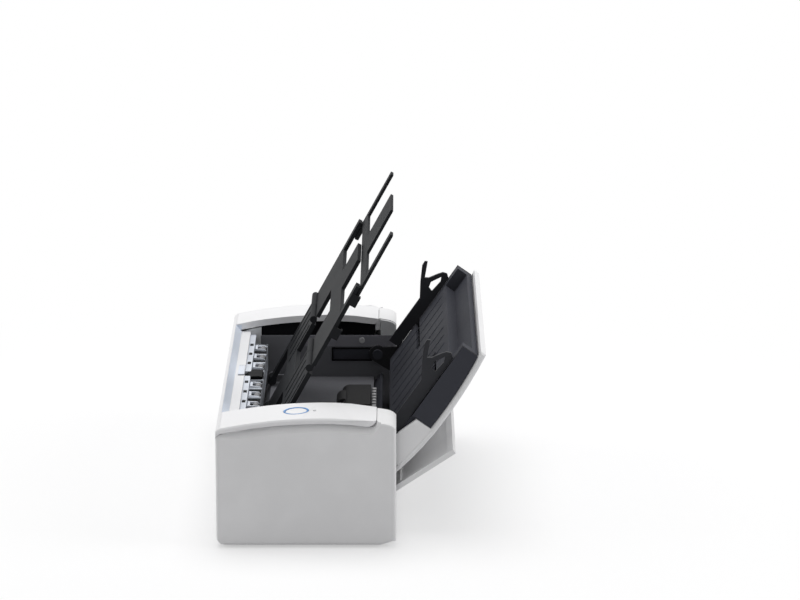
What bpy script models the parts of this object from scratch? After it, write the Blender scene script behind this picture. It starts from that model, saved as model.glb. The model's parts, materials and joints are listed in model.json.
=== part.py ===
"""Desktop document scanner with its feed cover open, built from separate working pieces.

Lengths are in metres and +Z is up. X runs along the machine, with the button end at +X.
Outlines are drawn as (y, z), where y starts at the front wall and grows towards the rear.
"""
import math

import bmesh
import bpy
from mathutils import Matrix, Vector

# Overall size
BODY_LENGTH = 0.296
BODY_DEPTH = 0.114
CREST_HEIGHT = 0.0860
CREST_FROM_FRONT = 0.068
CROWN_RADIUS = 0.320
REAR_CROWN_RADIUS = 0.200
FRONT_EDGE_HEIGHT = 0.0772
FRONT_SHOULDER_DEPTH = 0.0030
FRONT_SHOULDER_PULL = 0.0006
REAR_SHOULDER_START = 0.1060
REAR_EDGE_HEIGHT = 0.0785
REAR_SHOULDER_PULL = 0.0016
CASE_BOTTOM = 0.0015
FRONT_CORNER_RADIUS = 0.005
CHAMFER_RUN = 0.010
CHAMFER_RISE = 0.003
WALL = 0.0022
GAP = 0.0003
SLACK = 0.0004
OVERRUN = 0.004
ORIGIN_FROM_FRONT = 0.08561

# The end sections and the opening between them
END_SECTION_LENGTH = 0.035
PANEL_THICKNESS = 0.002
TOP_COVER_THICKNESS = 0.0045
SLAB_END_SHARE = 0.85
TOP_COVER_REACH = 0.1016
END_ROUNDING = 0.0024

# Feed cover, drawn open: its paper plate leans back at PAPER_ANGLE
HINGE_FROM_FRONT = 0.101
HINGE_HEIGHT = 0.059
PAPER_ANGLE = math.radians(54.9)
CLOSING_ANGLE = math.radians(126.5)
HINGE_ABOVE_PAPER = 0.009
COVER_HALF_LENGTH = 0.111
COVER_SKIN = 0.0025
COVER_FRONT = 0.0130
COVER_REAR = 0.1098

# Rear flap
FLAP_HINGE_FROM_FRONT = 0.112
FLAP_HINGE_HEIGHT = 0.027
FLAP_LENGTH = 0.047
FLAP_ANGLE = math.radians(33.5)
FLAP_THICKNESS = 0.0034

# Output guide, drawn raised
GUIDE_HINGE_FROM_FRONT = 0.028
GUIDE_HINGE_HEIGHT = 0.0455
GUIDE_ANGLE = math.radians(61.2)
GUIDE_BASE_LENGTH = 0.066
GUIDE_LEAF_LENGTH = 0.062
GUIDE_TONGUE_TRAVEL = 0.040
GUIDE_HALF_WIDTH = 0.097
GUIDE_THICKNESS = 0.003
LEAF_THICKNESS = 0.0026
TONGUE_THICKNESS = 0.002

# Paper path round the inside
PATH_FLOOR = 0.0145
REAR_TURN_RADIUS = 0.022
FRONT_TURN_RADIUS = 0.012
PATH_HALF_GAP = 0.0012
GUIDE_SKIN = 0.0016

# Drive
TOOTH_SIZE = 0.001
FEED_TEETH = 24
TRANSFER_TEETH = 18
PICK_TEETH = 14
IDLER_TEETH = 16
EXIT_TEETH = 24
MOTOR_TEETH = 10
GEAR_WIDTH = 0.004
SHAFT_RADIUS = 0.0025
FEED_FROM_FRONT = 0.064
FEED_ROLLER_RADIUS = 0.008
EXIT_ROLLER_RADIUS = 0.008
EXIT_IDLER_RADIUS = 0.005
PICK_ROLLER_RADIUS = 0.009
BRAKE_ROLLER_RADIUS = 0.0064
PICK_BEFORE_HINGE = 0.0195

# Front section, which swings forward
SECTION_HINGE_FROM_FRONT = 0.0046
SECTION_HINGE_HEIGHT = 0.0080

# Scan button
BUTTON_ALONG = 0.1305
BUTTON_FROM_FRONT = 0.0506
BUTTON_RADIUS = 0.0068
BUTTON_TRAVEL = 0.0006
RING_WIDTH = 0.0008

HALF = BODY_LENGTH / 2
INNER = HALF - END_SECTION_LENGTH
PANEL_INNER = INNER - SLACK / 2
PANEL_OUTER = PANEL_INNER + PANEL_THICKNESS
CENTRE_HALF = PANEL_INNER - GAP
HINGE = (HINGE_FROM_FRONT, HINGE_HEIGHT)
ROUND_STEPS = 20
SIDES = (("right", 1), ("left", -1))


def clear_scene():
    for item in list(bpy.data.objects):
        bpy.data.objects.remove(item, do_unlink=True)


def plastic(name, colour, roughness, metallic=0.0, glow=0.0):
    material = bpy.data.materials.new(name)
    material.use_nodes = True
    shader = material.node_tree.nodes["Principled BSDF"]
    shader.inputs["Base Color"].default_value = (*colour, 1.0)
    shader.inputs["Roughness"].default_value = roughness
    shader.inputs["Metallic"].default_value = metallic
    shader.inputs["Emission Color"].default_value = (*colour, 1.0)
    shader.inputs["Emission Strength"].default_value = glow
    material.diffuse_color = (*colour, 1.0)
    return material


# Plane geometry

def turned_about(point, centre, angle):
    y, z = point[0] - centre[0], point[1] - centre[1]
    c, s = math.cos(angle), math.sin(angle)
    return (centre[0] + c * y - s * z, centre[1] + s * y + c * z)


def arc(centre, radius, start, end, steps):
    points = []
    for step in range(steps + 1):
        angle = start + (end - start) * step / steps
        points.append((centre[0] + radius * math.cos(angle), centre[1] + radius * math.sin(angle)))
    return points


def curve(start, pull, end, steps):
    points = []
    for step in range(steps + 1):
        t = step / steps
        a, b, c = (1 - t) ** 2, 2 * t * (1 - t), t ** 2
        points.append((a * start[0] + b * pull[0] + c * end[0], a * start[1] + b * pull[1] + c * end[1]))
    return points


def inset(outline, distance):
    """Move each side of an anticlockwise outline inwards by a distance."""
    result = []
    count = len(outline)
    for index in range(count):
        before, here, after = outline[index - 1], outline[index], outline[(index + 1) % count]
        one = Vector((here[0] - before[0], here[1] - before[1])).normalized()
        two = Vector((after[0] - here[0], after[1] - here[1])).normalized()
        left = Vector((-one.y, one.x)) + Vector((-two.y, two.x))
        shift = left * distance / (1 + one.dot(two))
        result.append((here[0] + shift.x, here[1] + shift.y))
    return result


def box_outline(y_low, y_high, z_low, z_high):
    return [(y_low, z_low), (y_high, z_low), (y_high, z_high), (y_low, z_high)]


def meeting_point(first, second, from_first, from_second, side):
    """The point at two given distances from two centres, on one side of the line between them."""
    span = math.dist(first, second)
    along = (span ** 2 + from_first ** 2 - from_second ** 2) / (2 * span)
    across = math.sqrt(from_first ** 2 - along ** 2) * side
    y, z = (second[0] - first[0]) / span, (second[1] - first[1]) / span
    return (first[0] + y * along - z * across, first[1] + z * along + y * across)


def crown_height(y):
    radius = CROWN_RADIUS if y < CREST_FROM_FRONT else REAR_CROWN_RADIUS
    return CREST_HEIGHT - radius + math.sqrt(radius ** 2 - (y - CREST_FROM_FRONT) ** 2)


def make_top_line():
    """The body's top line from the front wall to the rear wall."""
    front = (FRONT_SHOULDER_DEPTH, crown_height(FRONT_SHOULDER_DEPTH))
    front_pull = (FRONT_SHOULDER_PULL, front[1] - FRONT_SHOULDER_PULL * 2)
    rear = (REAR_SHOULDER_START, crown_height(REAR_SHOULDER_START))
    rear_pull = (BODY_DEPTH - REAR_SHOULDER_PULL, rear[1] - REAR_SHOULDER_PULL / 2)
    crown_steps = 10
    line = curve((0.0, FRONT_EDGE_HEIGHT), front_pull, front, 3)
    for step in range(1, crown_steps):
        y = front[0] + (rear[0] - front[0]) * step / crown_steps
        line.append((y, crown_height(y)))
    return line + curve(rear, rear_pull, (BODY_DEPTH, REAR_EDGE_HEIGHT), 5)


TOP_LINE = make_top_line()


def top_height(y):
    for before, after in zip(TOP_LINE, TOP_LINE[1:]):
        if before[0] <= y <= after[0]:
            return before[1] + (after[1] - before[1]) * (y - before[0]) / (after[0] - before[0])
    return TOP_LINE[-1][1]


def top_run(start, end, drop=0.0, clear=0.0):
    """The stretch of the top line between two distances from the front, lowered by a drop.

    A clear length at each end keeps short edges away from a corner that is inset later.
    """
    run = [(start, top_height(start))]
    run += [point for point in TOP_LINE if start + clear < point[0] < end - clear]
    run.append((end, top_height(end)))
    return [(y, z - drop) for y, z in run]


# Solids

def solid(rings, closed=False):
    """Skin a list of equal loops of points; the ends are capped unless the last meets the first."""
    work = bmesh.new()
    loops = [[work.verts.new(point) for point in ring] for ring in rings]
    pairs = list(zip(loops, loops[1:]))
    if closed:
        pairs.append((loops[-1], loops[0]))
    else:
        work.faces.new(loops[0])
        work.faces.new(loops[-1])
    for low, high in pairs:
        for index in range(len(low)):
            after = (index + 1) % len(low)
            work.faces.new((low[index], low[after], high[after], high[index]))
    bmesh.ops.recalc_face_normals(work, faces=work.faces)
    mesh = bpy.data.meshes.new("solid")
    work.to_mesh(mesh)
    work.free()
    return mesh


def prism(outline, low, high):
    return solid([[(x, y, z) for y, z in outline] for x in (low, high)])


def block(x_low, x_high, y_low, y_high, z_low, z_high):
    return prism(box_outline(y_low, y_high, z_low, z_high), x_low, x_high)


def turned(centre, profile, bore=0.0, steps=ROUND_STEPS):
    """Turn a profile of (x, radius) about an X axis through centre; a bore makes it a sleeve."""
    rings = list(profile)
    if bore:
        rings += [(profile[-1][0], bore), (profile[0][0], bore)]
    loops = []
    for x, radius in rings:
        half_step = math.pi / steps
        circle = arc(centre, radius, half_step, math.tau - half_step, steps - 1)
        loops.append([(x, y, z) for y, z in circle])
    return solid(loops, closed=bool(bore))


def rod(centre, x_low, x_high, radius, bore=0.0, steps=ROUND_STEPS):
    return turned(centre, [(x_low, radius), (x_high, radius)], bore, steps)


def upright(x, y, profile, bore=0.0, steps=ROUND_STEPS):
    """Turn a profile of (z, radius) about a vertical axis."""
    mesh = turned((0.0, 0.0), profile, bore, steps)
    mesh.transform(Matrix.Translation((x, y, 0.0)) @ Matrix.Rotation(-math.pi / 2, 4, "Y"))
    return mesh


def combine(mesh, others, operation):
    """Cut or join meshes with exact solid operations and return the result."""
    base = bpy.data.objects.new("base", mesh)
    bpy.context.collection.objects.link(base)
    tools = []
    for other in others:
        tool = bpy.data.objects.new("tool", other)
        bpy.context.collection.objects.link(tool)
        modifier = base.modifiers.new("shape", "BOOLEAN")
        modifier.operation = operation
        modifier.solver = "EXACT"
        modifier.object = tool
        tools.append(tool)
    graph = bpy.context.evaluated_depsgraph_get()
    result = bpy.data.meshes.new_from_object(base.evaluated_get(graph))
    for item in [base] + tools:
        bpy.data.objects.remove(item, do_unlink=True)
    return result


def cut(mesh, *others):
    return combine(mesh, others, "DIFFERENCE")


def join(mesh, *others):
    return combine(mesh, others, "UNION")


# Bodies and pieces

BODIES = {}
MATERIALS = {}


def body(name, pivot, parent=None):
    """An empty on a joint's axis, given as (x, y, z) with y from the front wall."""
    empty = bpy.data.objects.new(name + "_axis", None)
    bpy.context.collection.objects.link(empty)
    empty.empty_display_size = 0.01
    pivot = Vector(pivot)
    if parent:
        empty.parent = BODIES[parent][0]
        empty.location = pivot - BODIES[parent][1]
    else:
        empty.location = pivot - Vector((0.0, ORIGIN_FROM_FRONT, 0.0))
    BODIES[name] = (empty, pivot)


def piece(name, mesh, material, owner="root"):
    empty, pivot = BODIES[owner]
    mesh.name = name
    mesh.transform(Matrix.Translation(-pivot))
    mesh.materials.clear()
    mesh.materials.append(MATERIALS[material])
    mesh.shade_smooth()
    mesh.set_sharp_from_angle(angle=math.radians(35))
    item = bpy.data.objects.new(name, mesh)
    bpy.context.collection.objects.link(item)
    item.parent = empty
    return item


def leaning_frame(origin, angle):
    """A frame whose first axis is X, second runs along a leaning plate and third stands off it."""
    c, s = math.cos(angle), math.sin(angle)
    rows = ((1, 0, 0, 0), (0, c, -s, origin[0]), (0, s, c, origin[1]), (0, 0, 0, 1))
    return Matrix(rows)


def in_frame(frame, mesh):
    mesh.transform(frame)
    return mesh


PAPER_FOOT = (HINGE[0] + HINGE_ABOVE_PAPER * math.sin(PAPER_ANGLE),
              HINGE[1] - HINGE_ABOVE_PAPER * math.cos(PAPER_ANGLE))
COVER_FRAME = leaning_frame(PAPER_FOOT, PAPER_ANGLE)
GUIDE_HINGE = (GUIDE_HINGE_FROM_FRONT, GUIDE_HINGE_HEIGHT)
GUIDE_FRAME = leaning_frame(GUIDE_HINGE, GUIDE_ANGLE)
FLAP_HINGE = (FLAP_HINGE_FROM_FRONT, FLAP_HINGE_HEIGHT)
FLAP_FRAME = leaning_frame(FLAP_HINGE, FLAP_ANGLE)
SECTION_HINGE = (SECTION_HINGE_FROM_FRONT, SECTION_HINGE_HEIGHT)


def at(frame, along, lift):
    point = frame @ Vector((0.0, along, lift))
    return (point.y, point.z)


# Paper path: down the cover's plate, round the floor and up the output guide

def turn_centre(origin, angle, radius, side):
    """Centre of a turn that touches the floor line and a leaning line."""
    height = PATH_FLOOR + radius
    normal = (-math.sin(angle) * side, math.cos(angle) * side)
    y = origin[0] + (radius - normal[1] * (height - origin[1])) / normal[0]
    return (y, height)


REAR_TURN = turn_centre(PAPER_FOOT, PAPER_ANGLE, REAR_TURN_RADIUS, 1)
FRONT_TURN = turn_centre(GUIDE_HINGE, GUIDE_ANGLE, FRONT_TURN_RADIUS, -1)
REAR_TOUCH_ANGLE = PAPER_ANGLE - math.pi / 2
FRONT_TOUCH_ANGLE = GUIDE_ANGLE + math.pi / 2


def path_line(offset, entry_lift, front_angle, exit_run):
    """The path moved inwards by an offset, from the entry line to the front turn and beyond it."""
    points = [at(COVER_FRAME, -entry_lift, offset)]
    points += arc(REAR_TURN, REAR_TURN_RADIUS - offset, REAR_TOUCH_ANGLE, -math.pi / 2, 8)
    turn = arc(FRONT_TURN, FRONT_TURN_RADIUS - offset, -math.pi / 2, front_angle - math.tau, 8)
    points += turn
    if exit_run:
        points.append((turn[-1][0] + exit_run * math.cos(GUIDE_ANGLE),
                       turn[-1][1] + exit_run * math.sin(GUIDE_ANGLE)))
    return points


PICK_CENTRE = at(COVER_FRAME, -PICK_BEFORE_HINGE, PICK_ROLLER_RADIUS + GAP / 2)
BRAKE_CENTRE = at(COVER_FRAME, -PICK_BEFORE_HINGE, -BRAKE_ROLLER_RADIUS - GAP / 2)
FEED_CENTRE = (FEED_FROM_FRONT, PATH_FLOOR + FEED_ROLLER_RADIUS)
EXIT_NIP = arc(FRONT_TURN, FRONT_TURN_RADIUS, FRONT_TOUCH_ANGLE, FRONT_TOUCH_ANGLE, 1)[0]
EXIT_CENTRE = (EXIT_NIP[0] + (EXIT_ROLLER_RADIUS + GAP / 2) * math.sin(GUIDE_ANGLE),
               EXIT_NIP[1] - (EXIT_ROLLER_RADIUS + GAP / 2) * math.cos(GUIDE_ANGLE))
EXIT_IDLER_CENTRE = (EXIT_NIP[0] - (EXIT_IDLER_RADIUS + GAP / 2) * math.sin(GUIDE_ANGLE),
                     EXIT_NIP[1] + (EXIT_IDLER_RADIUS + GAP / 2) * math.cos(GUIDE_ANGLE))


def gear_distance(first_teeth, second_teeth):
    return TOOTH_SIZE * (first_teeth + second_teeth) / 2


TRANSFER_CENTRE = meeting_point(FEED_CENTRE, PICK_CENTRE, gear_distance(FEED_TEETH, TRANSFER_TEETH),
                                gear_distance(PICK_TEETH, PICK_TEETH), -1)
IDLER_CENTRE = meeting_point(FEED_CENTRE, EXIT_CENTRE, gear_distance(FEED_TEETH, IDLER_TEETH),
                             gear_distance(EXIT_TEETH, IDLER_TEETH), -1)
MOTOR_BEARING = math.radians(97)
MOTOR_CENTRE = (FEED_CENTRE[0] + gear_distance(FEED_TEETH, MOTOR_TEETH) * math.cos(MOTOR_BEARING),
                FEED_CENTRE[1] + gear_distance(FEED_TEETH, MOTOR_TEETH) * math.sin(MOTOR_BEARING))

TIP_RISE_SHARE = 0.85
ROOT_FALL_SHARE = 1.15
TOOTH_ROOT_SHARE = 0.26
TOOTH_TIP_SHARE = 0.11


def gear_outline(centre, teeth, phase):
    radius = TOOTH_SIZE * teeth / 2
    root = radius - ROOT_FALL_SHARE * TOOTH_SIZE
    tip = radius + TIP_RISE_SHARE * TOOTH_SIZE
    pitch = math.tau / teeth
    points = []
    for tooth in range(teeth):
        middle = phase + pitch * tooth
        for share, reach in ((-TOOTH_ROOT_SHARE, root), (-TOOTH_TIP_SHARE, tip),
                             (TOOTH_TIP_SHARE, tip), (TOOTH_ROOT_SHARE, root)):
            angle = middle + share * pitch
            points.append((centre[0] + reach * math.cos(angle), centre[1] + reach * math.sin(angle)))
    return points


def meshed_phase(driver, driver_teeth, driver_phase, driven, driven_teeth):
    """The phase that puts a tooth of the driver in a gap of the driven gear."""
    bearing = math.atan2(driven[1] - driver[1], driven[0] - driver[0])
    turns = driver_teeth * (bearing - driver_phase) / math.tau - 0.5
    return bearing + math.pi + math.tau * turns / driven_teeth


def gear(centre, teeth, phase, x_low, x_high, bore=SHAFT_RADIUS + GAP):
    wheel = prism(gear_outline(centre, teeth, phase), x_low, x_high)
    return cut(wheel, rod(centre, x_low - OVERRUN, x_high + OVERRUN, bore))


# Casing

def case_outline(lowered):
    """Side outline of the body; in front of the shoulder its top is lowered under the top cover."""
    corner = (FRONT_CORNER_RADIUS, CASE_BOTTOM + FRONT_CORNER_RADIUS)
    points = arc(corner, FRONT_CORNER_RADIUS, math.pi, math.pi * 3 / 2, 4)
    points += [(BODY_DEPTH - CHAMFER_RUN, CASE_BOTTOM), (BODY_DEPTH, CASE_BOTTOM + CHAMFER_RISE)]
    step = TOP_COVER_REACH + SLACK
    points += reversed(top_run(step, BODY_DEPTH, clear=END_ROUNDING / 2)[:1]
                       + top_run(step + END_ROUNDING * 1.5, BODY_DEPTH)[1:])
    points += reversed(top_run(0.0, step, lowered, END_ROUNDING * 2)[:-1] + slab_end(step, lowered))
    return points


def slab_end(rear, thickness):
    """The rounded lower rear corner of a slab's side outline, from its underside up to its rear edge."""
    radius = thickness * SLAB_END_SHARE
    centre = (rear - radius, top_height(rear - radius) - thickness + radius)
    return arc(centre, radius, -math.pi / 2, 0.0, 4)


def sided(side, low, high):
    return (low, high) if side > 0 else (-high, -low)


def make_end_caps():
    outline = case_outline(TOP_COVER_THICKNESS + SLACK)
    cavity_rear = BODY_DEPTH - CHAMFER_RUN - WALL
    chamfer_top = CASE_BOTTOM + CHAMFER_RISE + WALL
    shoulder_base = REAR_EDGE_HEIGHT - OVERRUN
    step = TOP_COVER_REACH - WALL
    cavity = [(WALL, -OVERRUN), (cavity_rear, -OVERRUN), (cavity_rear, chamfer_top),
              (BODY_DEPTH - WALL, chamfer_top), (BODY_DEPTH - WALL, shoulder_base),
              (step, shoulder_base), (step, CREST_HEIGHT + OVERRUN), (WALL, CREST_HEIGHT + OVERRUN)]
    inner = PANEL_OUTER + GAP
    for name, side in SIDES:
        rounding = [(inner, 0.0), (HALF - END_ROUNDING, 0.0), (HALF - END_ROUNDING / 3, END_ROUNDING / 3),
                    (HALF, END_ROUNDING)]
        shell = solid([[(side * x, y, z) for y, z in inset(outline, depth)] for x, depth in rounding])
        hollow = prism(cavity, *sided(side, inner - OVERRUN, HALF - WALL))
        piece(name + "_end_cap", cut(shell, hollow), "case_white")


PANEL_NOTCH_FRONT = 0.020
PANEL_NOTCH_REAR = 0.103
PANEL_NOTCH_HEIGHT = 0.071
PAN_TOP = CASE_BOTTOM + 0.0021


def make_inner_panels():
    outline = inset(case_outline(TOP_COVER_THICKNESS + SLACK), WALL / 4)
    trim = block(-HALF, HALF, -OVERRUN, BODY_DEPTH + OVERRUN, -OVERRUN, PAN_TOP + GAP)
    notch = block(-HALF, HALF, PANEL_NOTCH_FRONT, PANEL_NOTCH_REAR, PANEL_NOTCH_HEIGHT,
                  CREST_HEIGHT + OVERRUN)
    holes = [(HINGE, COVER_PIN_RADIUS + GAP)]
    for centre in (FEED_CENTRE, EXIT_CENTRE, TRANSFER_CENTRE):
        holes.append((centre, SHAFT_RADIUS + SLACK * 2))
    for name, side in SIDES:
        low, high = sided(side, PANEL_INNER, PANEL_OUTER)
        cutters = [rod(centre, low - OVERRUN, high + OVERRUN, radius) for centre, radius in holes]
        piece(name + "_inner_panel", cut(prism(outline, low, high), trim, notch, *cutters), "case_grey")


LIP_HEIGHT = 0.0066
PANEL_FOOT = 0.0086
SCREW_HOLE_RADIUS = 0.0016
FOOT_RADIUS = 0.0055
FOOT_HEIGHT = 0.0012
FOOT_FROM_END = 0.020
FOOT_FROM_WALL = 0.016
EAR_RADIUS = 0.0022
SECTION_ROD_RADIUS = 0.0008
PAN_EAR_ALONG = 0.090
EAR_WIDTH = 0.004


def make_base():
    corner = (FRONT_CORNER_RADIUS, CASE_BOTTOM + FRONT_CORNER_RADIUS)
    pan_rear = BODY_DEPTH - CHAMFER_RUN - WALL - SLACK
    inner_radius = FRONT_CORNER_RADIUS - WALL
    middle = [(0.0, LIP_HEIGHT)] + arc(corner, FRONT_CORNER_RADIUS, math.pi, math.pi * 3 / 2, 4)
    middle += [(pan_rear, CASE_BOTTOM), (pan_rear, PAN_TOP)]
    middle += reversed(arc(corner, inner_radius, math.pi, math.pi * 3 / 2, 3))
    middle += [(WALL, LIP_HEIGHT)]
    wing = HALF - WALL - SLACK
    plate = block(-wing, wing, WALL + SLACK, pan_rear, CASE_BOTTOM + GAP, PAN_TOP)
    ears = []
    for _, side in SIDES:
        low, high = sided(side, PAN_EAR_ALONG, PAN_EAR_ALONG + EAR_WIDTH)
        ears.append(rod(SECTION_HINGE, low, high, EAR_RADIUS))
        ears.append(block(low, high, SECTION_HINGE[0] - EAR_RADIUS, SECTION_HINGE[0] + EAR_RADIUS,
                          CASE_BOTTOM + GAP, SECTION_HINGE[1]))
    bore = rod(SECTION_HINGE, -INNER, INNER, SECTION_ROD_RADIUS + GAP)
    pan = cut(join(prism(middle, -CENTRE_HALF, CENTRE_HALF), plate, *ears), bore)
    piece("base_pan", pan, "case_grey")
    rod_end = PAN_EAR_ALONG + EAR_WIDTH * 3
    piece("front_section_rod", rod(SECTION_HINGE, -rod_end, rod_end, SECTION_ROD_RADIUS), "steel")
    for name, side in SIDES:
        for place, y in (("front", FOOT_FROM_WALL), ("rear", BODY_DEPTH - FOOT_FROM_WALL)):
            profile = [(0.0, FOOT_RADIUS - FOOT_HEIGHT / 2), (FOOT_HEIGHT / 2, FOOT_RADIUS),
                       (FOOT_HEIGHT, FOOT_RADIUS)]
            foot = upright(side * (HALF - FOOT_FROM_END), y, profile)
            piece(place + "_" + name + "_foot", foot, "rubber")


REAR_WALL_TOP = FLAP_HINGE_HEIGHT - 0.0027
USB_ALONG = 0.030
USB_WIDTH = 0.0120
USB_HEIGHT = 0.0110
INLET_ALONG = 0.060
INLET_RADIUS = 0.0045
SOCKET_BASE = 0.0080
SOCKET_LENGTH = 0.014
BOARD_TOP = 0.0073
FLAP_EAR_ALONG = 0.060
FLAP_ROD_RADIUS = 0.0008
FLAP_EAR_RADIUS = 0.0019


def make_rear_wall():
    start = BODY_DEPTH - CHAMFER_RUN - WALL
    inner = BODY_DEPTH - WALL
    outline = [(start, CASE_BOTTOM), (BODY_DEPTH - CHAMFER_RUN, CASE_BOTTOM),
               (BODY_DEPTH, CASE_BOTTOM + CHAMFER_RISE), (BODY_DEPTH, REAR_WALL_TOP),
               (inner, REAR_WALL_TOP), (inner, CASE_BOTTOM + CHAMFER_RISE + WALL),
               (start, PAN_TOP)]
    wall = prism(outline, -CENTRE_HALF, CENTRE_HALF)
    ears = []
    for _, side in SIDES:
        low, high = sided(side, FLAP_EAR_ALONG, FLAP_EAR_ALONG + EAR_WIDTH)
        ears.append(rod(FLAP_HINGE, low, high, FLAP_EAR_RADIUS))
        ears.append(block(low, high, inner, FLAP_HINGE[0] + FLAP_EAR_RADIUS / 2,
                          REAR_WALL_TOP - WALL, FLAP_HINGE[1]))
    usb = block(USB_ALONG - USB_WIDTH / 2 - GAP, USB_ALONG + USB_WIDTH / 2 + GAP, start,
                BODY_DEPTH + OVERRUN, SOCKET_BASE - GAP, SOCKET_BASE + USB_HEIGHT + GAP)
    inlet_centre_height = SOCKET_BASE + INLET_RADIUS
    inlet = block(INLET_ALONG - INLET_RADIUS - GAP, INLET_ALONG + INLET_RADIUS + GAP, start,
                  BODY_DEPTH + OVERRUN, SOCKET_BASE - GAP, SOCKET_BASE + INLET_RADIUS * 2 + GAP)
    bore = rod(FLAP_HINGE, -INNER, INNER, FLAP_ROD_RADIUS + GAP)
    piece("rear_wall", cut(join(wall, *ears), usb, inlet, bore), "case_grey")
    piece("flap_rod", rod(FLAP_HINGE, -COVER_HALF_LENGTH, COVER_HALF_LENGTH, FLAP_ROD_RADIUS), "steel")

    rear = BODY_DEPTH - GAP
    port = block(USB_ALONG - USB_WIDTH / 2, USB_ALONG + USB_WIDTH / 2, rear - SOCKET_LENGTH, rear,
                 SOCKET_BASE, SOCKET_BASE + USB_HEIGHT)
    lip = USB_WIDTH / 12
    mouth = block(USB_ALONG - USB_WIDTH / 2 + lip, USB_ALONG + USB_WIDTH / 2 - lip,
                  rear - SOCKET_LENGTH * 0.7, rear + OVERRUN, SOCKET_BASE + lip,
                  SOCKET_BASE + USB_HEIGHT - lip)
    tab = block(USB_ALONG - USB_WIDTH / 4, USB_ALONG + USB_WIDTH / 4, rear - SOCKET_LENGTH * 0.8,
                rear - lip, SOCKET_BASE + USB_HEIGHT * 0.4, SOCKET_BASE + USB_HEIGHT * 0.7)
    piece("data_socket", join(cut(port, mouth), tab), "steel")
    jack = block(INLET_ALONG - INLET_RADIUS, INLET_ALONG + INLET_RADIUS, rear - SOCKET_LENGTH, rear,
                 SOCKET_BASE, SOCKET_BASE + INLET_RADIUS * 2)
    hole = hole_along_y(INLET_ALONG, inlet_centre_height, INLET_RADIUS * 0.62,
                        rear - SOCKET_LENGTH * 0.7, rear + OVERRUN)
    pin = hole_along_y(INLET_ALONG, inlet_centre_height, INLET_RADIUS * 0.2,
                       rear - SOCKET_LENGTH * 0.8, rear - lip)
    piece("power_inlet", join(cut(jack, hole), pin), "dark")


def hole_along_y(x, z, radius, low, high):
    mesh = turned((0.0, 0.0), [(low, radius), (high, radius)], steps=12)
    mesh.transform(Matrix.Translation((x, 0.0, z)) @ Matrix.Rotation(math.pi / 2, 4, "Z"))
    return mesh


BOARD_HALF_LENGTH = 0.075
BOARD_FRONT = 0.0925
BOARD_REAR = 0.1075
BOARD_THICKNESS = 0.0016


def make_board():
    plate = block(-BOARD_HALF_LENGTH, BOARD_HALF_LENGTH, BOARD_FRONT, BOARD_REAR,
                  BOARD_TOP - BOARD_THICKNESS, BOARD_TOP)
    chip = BOARD_THICKNESS * 5
    parts = []
    for place in range(3):
        x = -BOARD_HALF_LENGTH + BOARD_THICKNESS * (10 + place * 14)
        parts.append(block(x, x + chip, BOARD_FRONT + BOARD_THICKNESS, BOARD_FRONT + chip,
                           BOARD_TOP - BOARD_THICKNESS / 2, BOARD_TOP + BOARD_THICKNESS))
    piece("main_board", join(plate, *parts), "board_green")


# Inside guides, rollers and sensors

INNER_TOP = GUIDE_HINGE_HEIGHT - 0.0037
INNER_SKIN = 0.002
INNER_HALF = CENTRE_HALF - 0.0005
PICK_WINDOW_HALF = 0.0262
FEED_HALF = 0.030
EXIT_HALF = 0.030
WINDOW_MARGIN = 0.0015
SENSOR_HALF = 0.108
SENSOR_DEPTH = 0.0105
LOWER_SENSOR_FRONT = 0.0435
UPPER_SENSOR_FRONT = 0.0370
SENSOR_HEIGHT = 0.0075
GLASS_THICKNESS = 0.001
OUTER_ENTRY = 0.0105
OUTER_FRONT_ANGLE = math.radians(190)


def inner_guide_outline(offset, top):
    """Loop inside the paper path, closed along a flat top."""
    line = path_line(offset, 0.0, FRONT_TOUCH_ANGLE, 0.0)[1:]
    first, last = line[0], line[-1]
    rise = (top - first[1]) / math.tan(PAPER_ANGLE)
    front_rise = (top - last[1]) / math.tan(GUIDE_ANGLE)
    outline = [(first[0] + rise, top)] + line + [(last[0] + front_rise, top)]
    return list(reversed(outline))


def window(x_half, centre, radius, y_pad, z_low, z_high):
    return block(-x_half, x_half, centre[0] - radius - y_pad, centre[0] + radius + y_pad, z_low, z_high)


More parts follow.
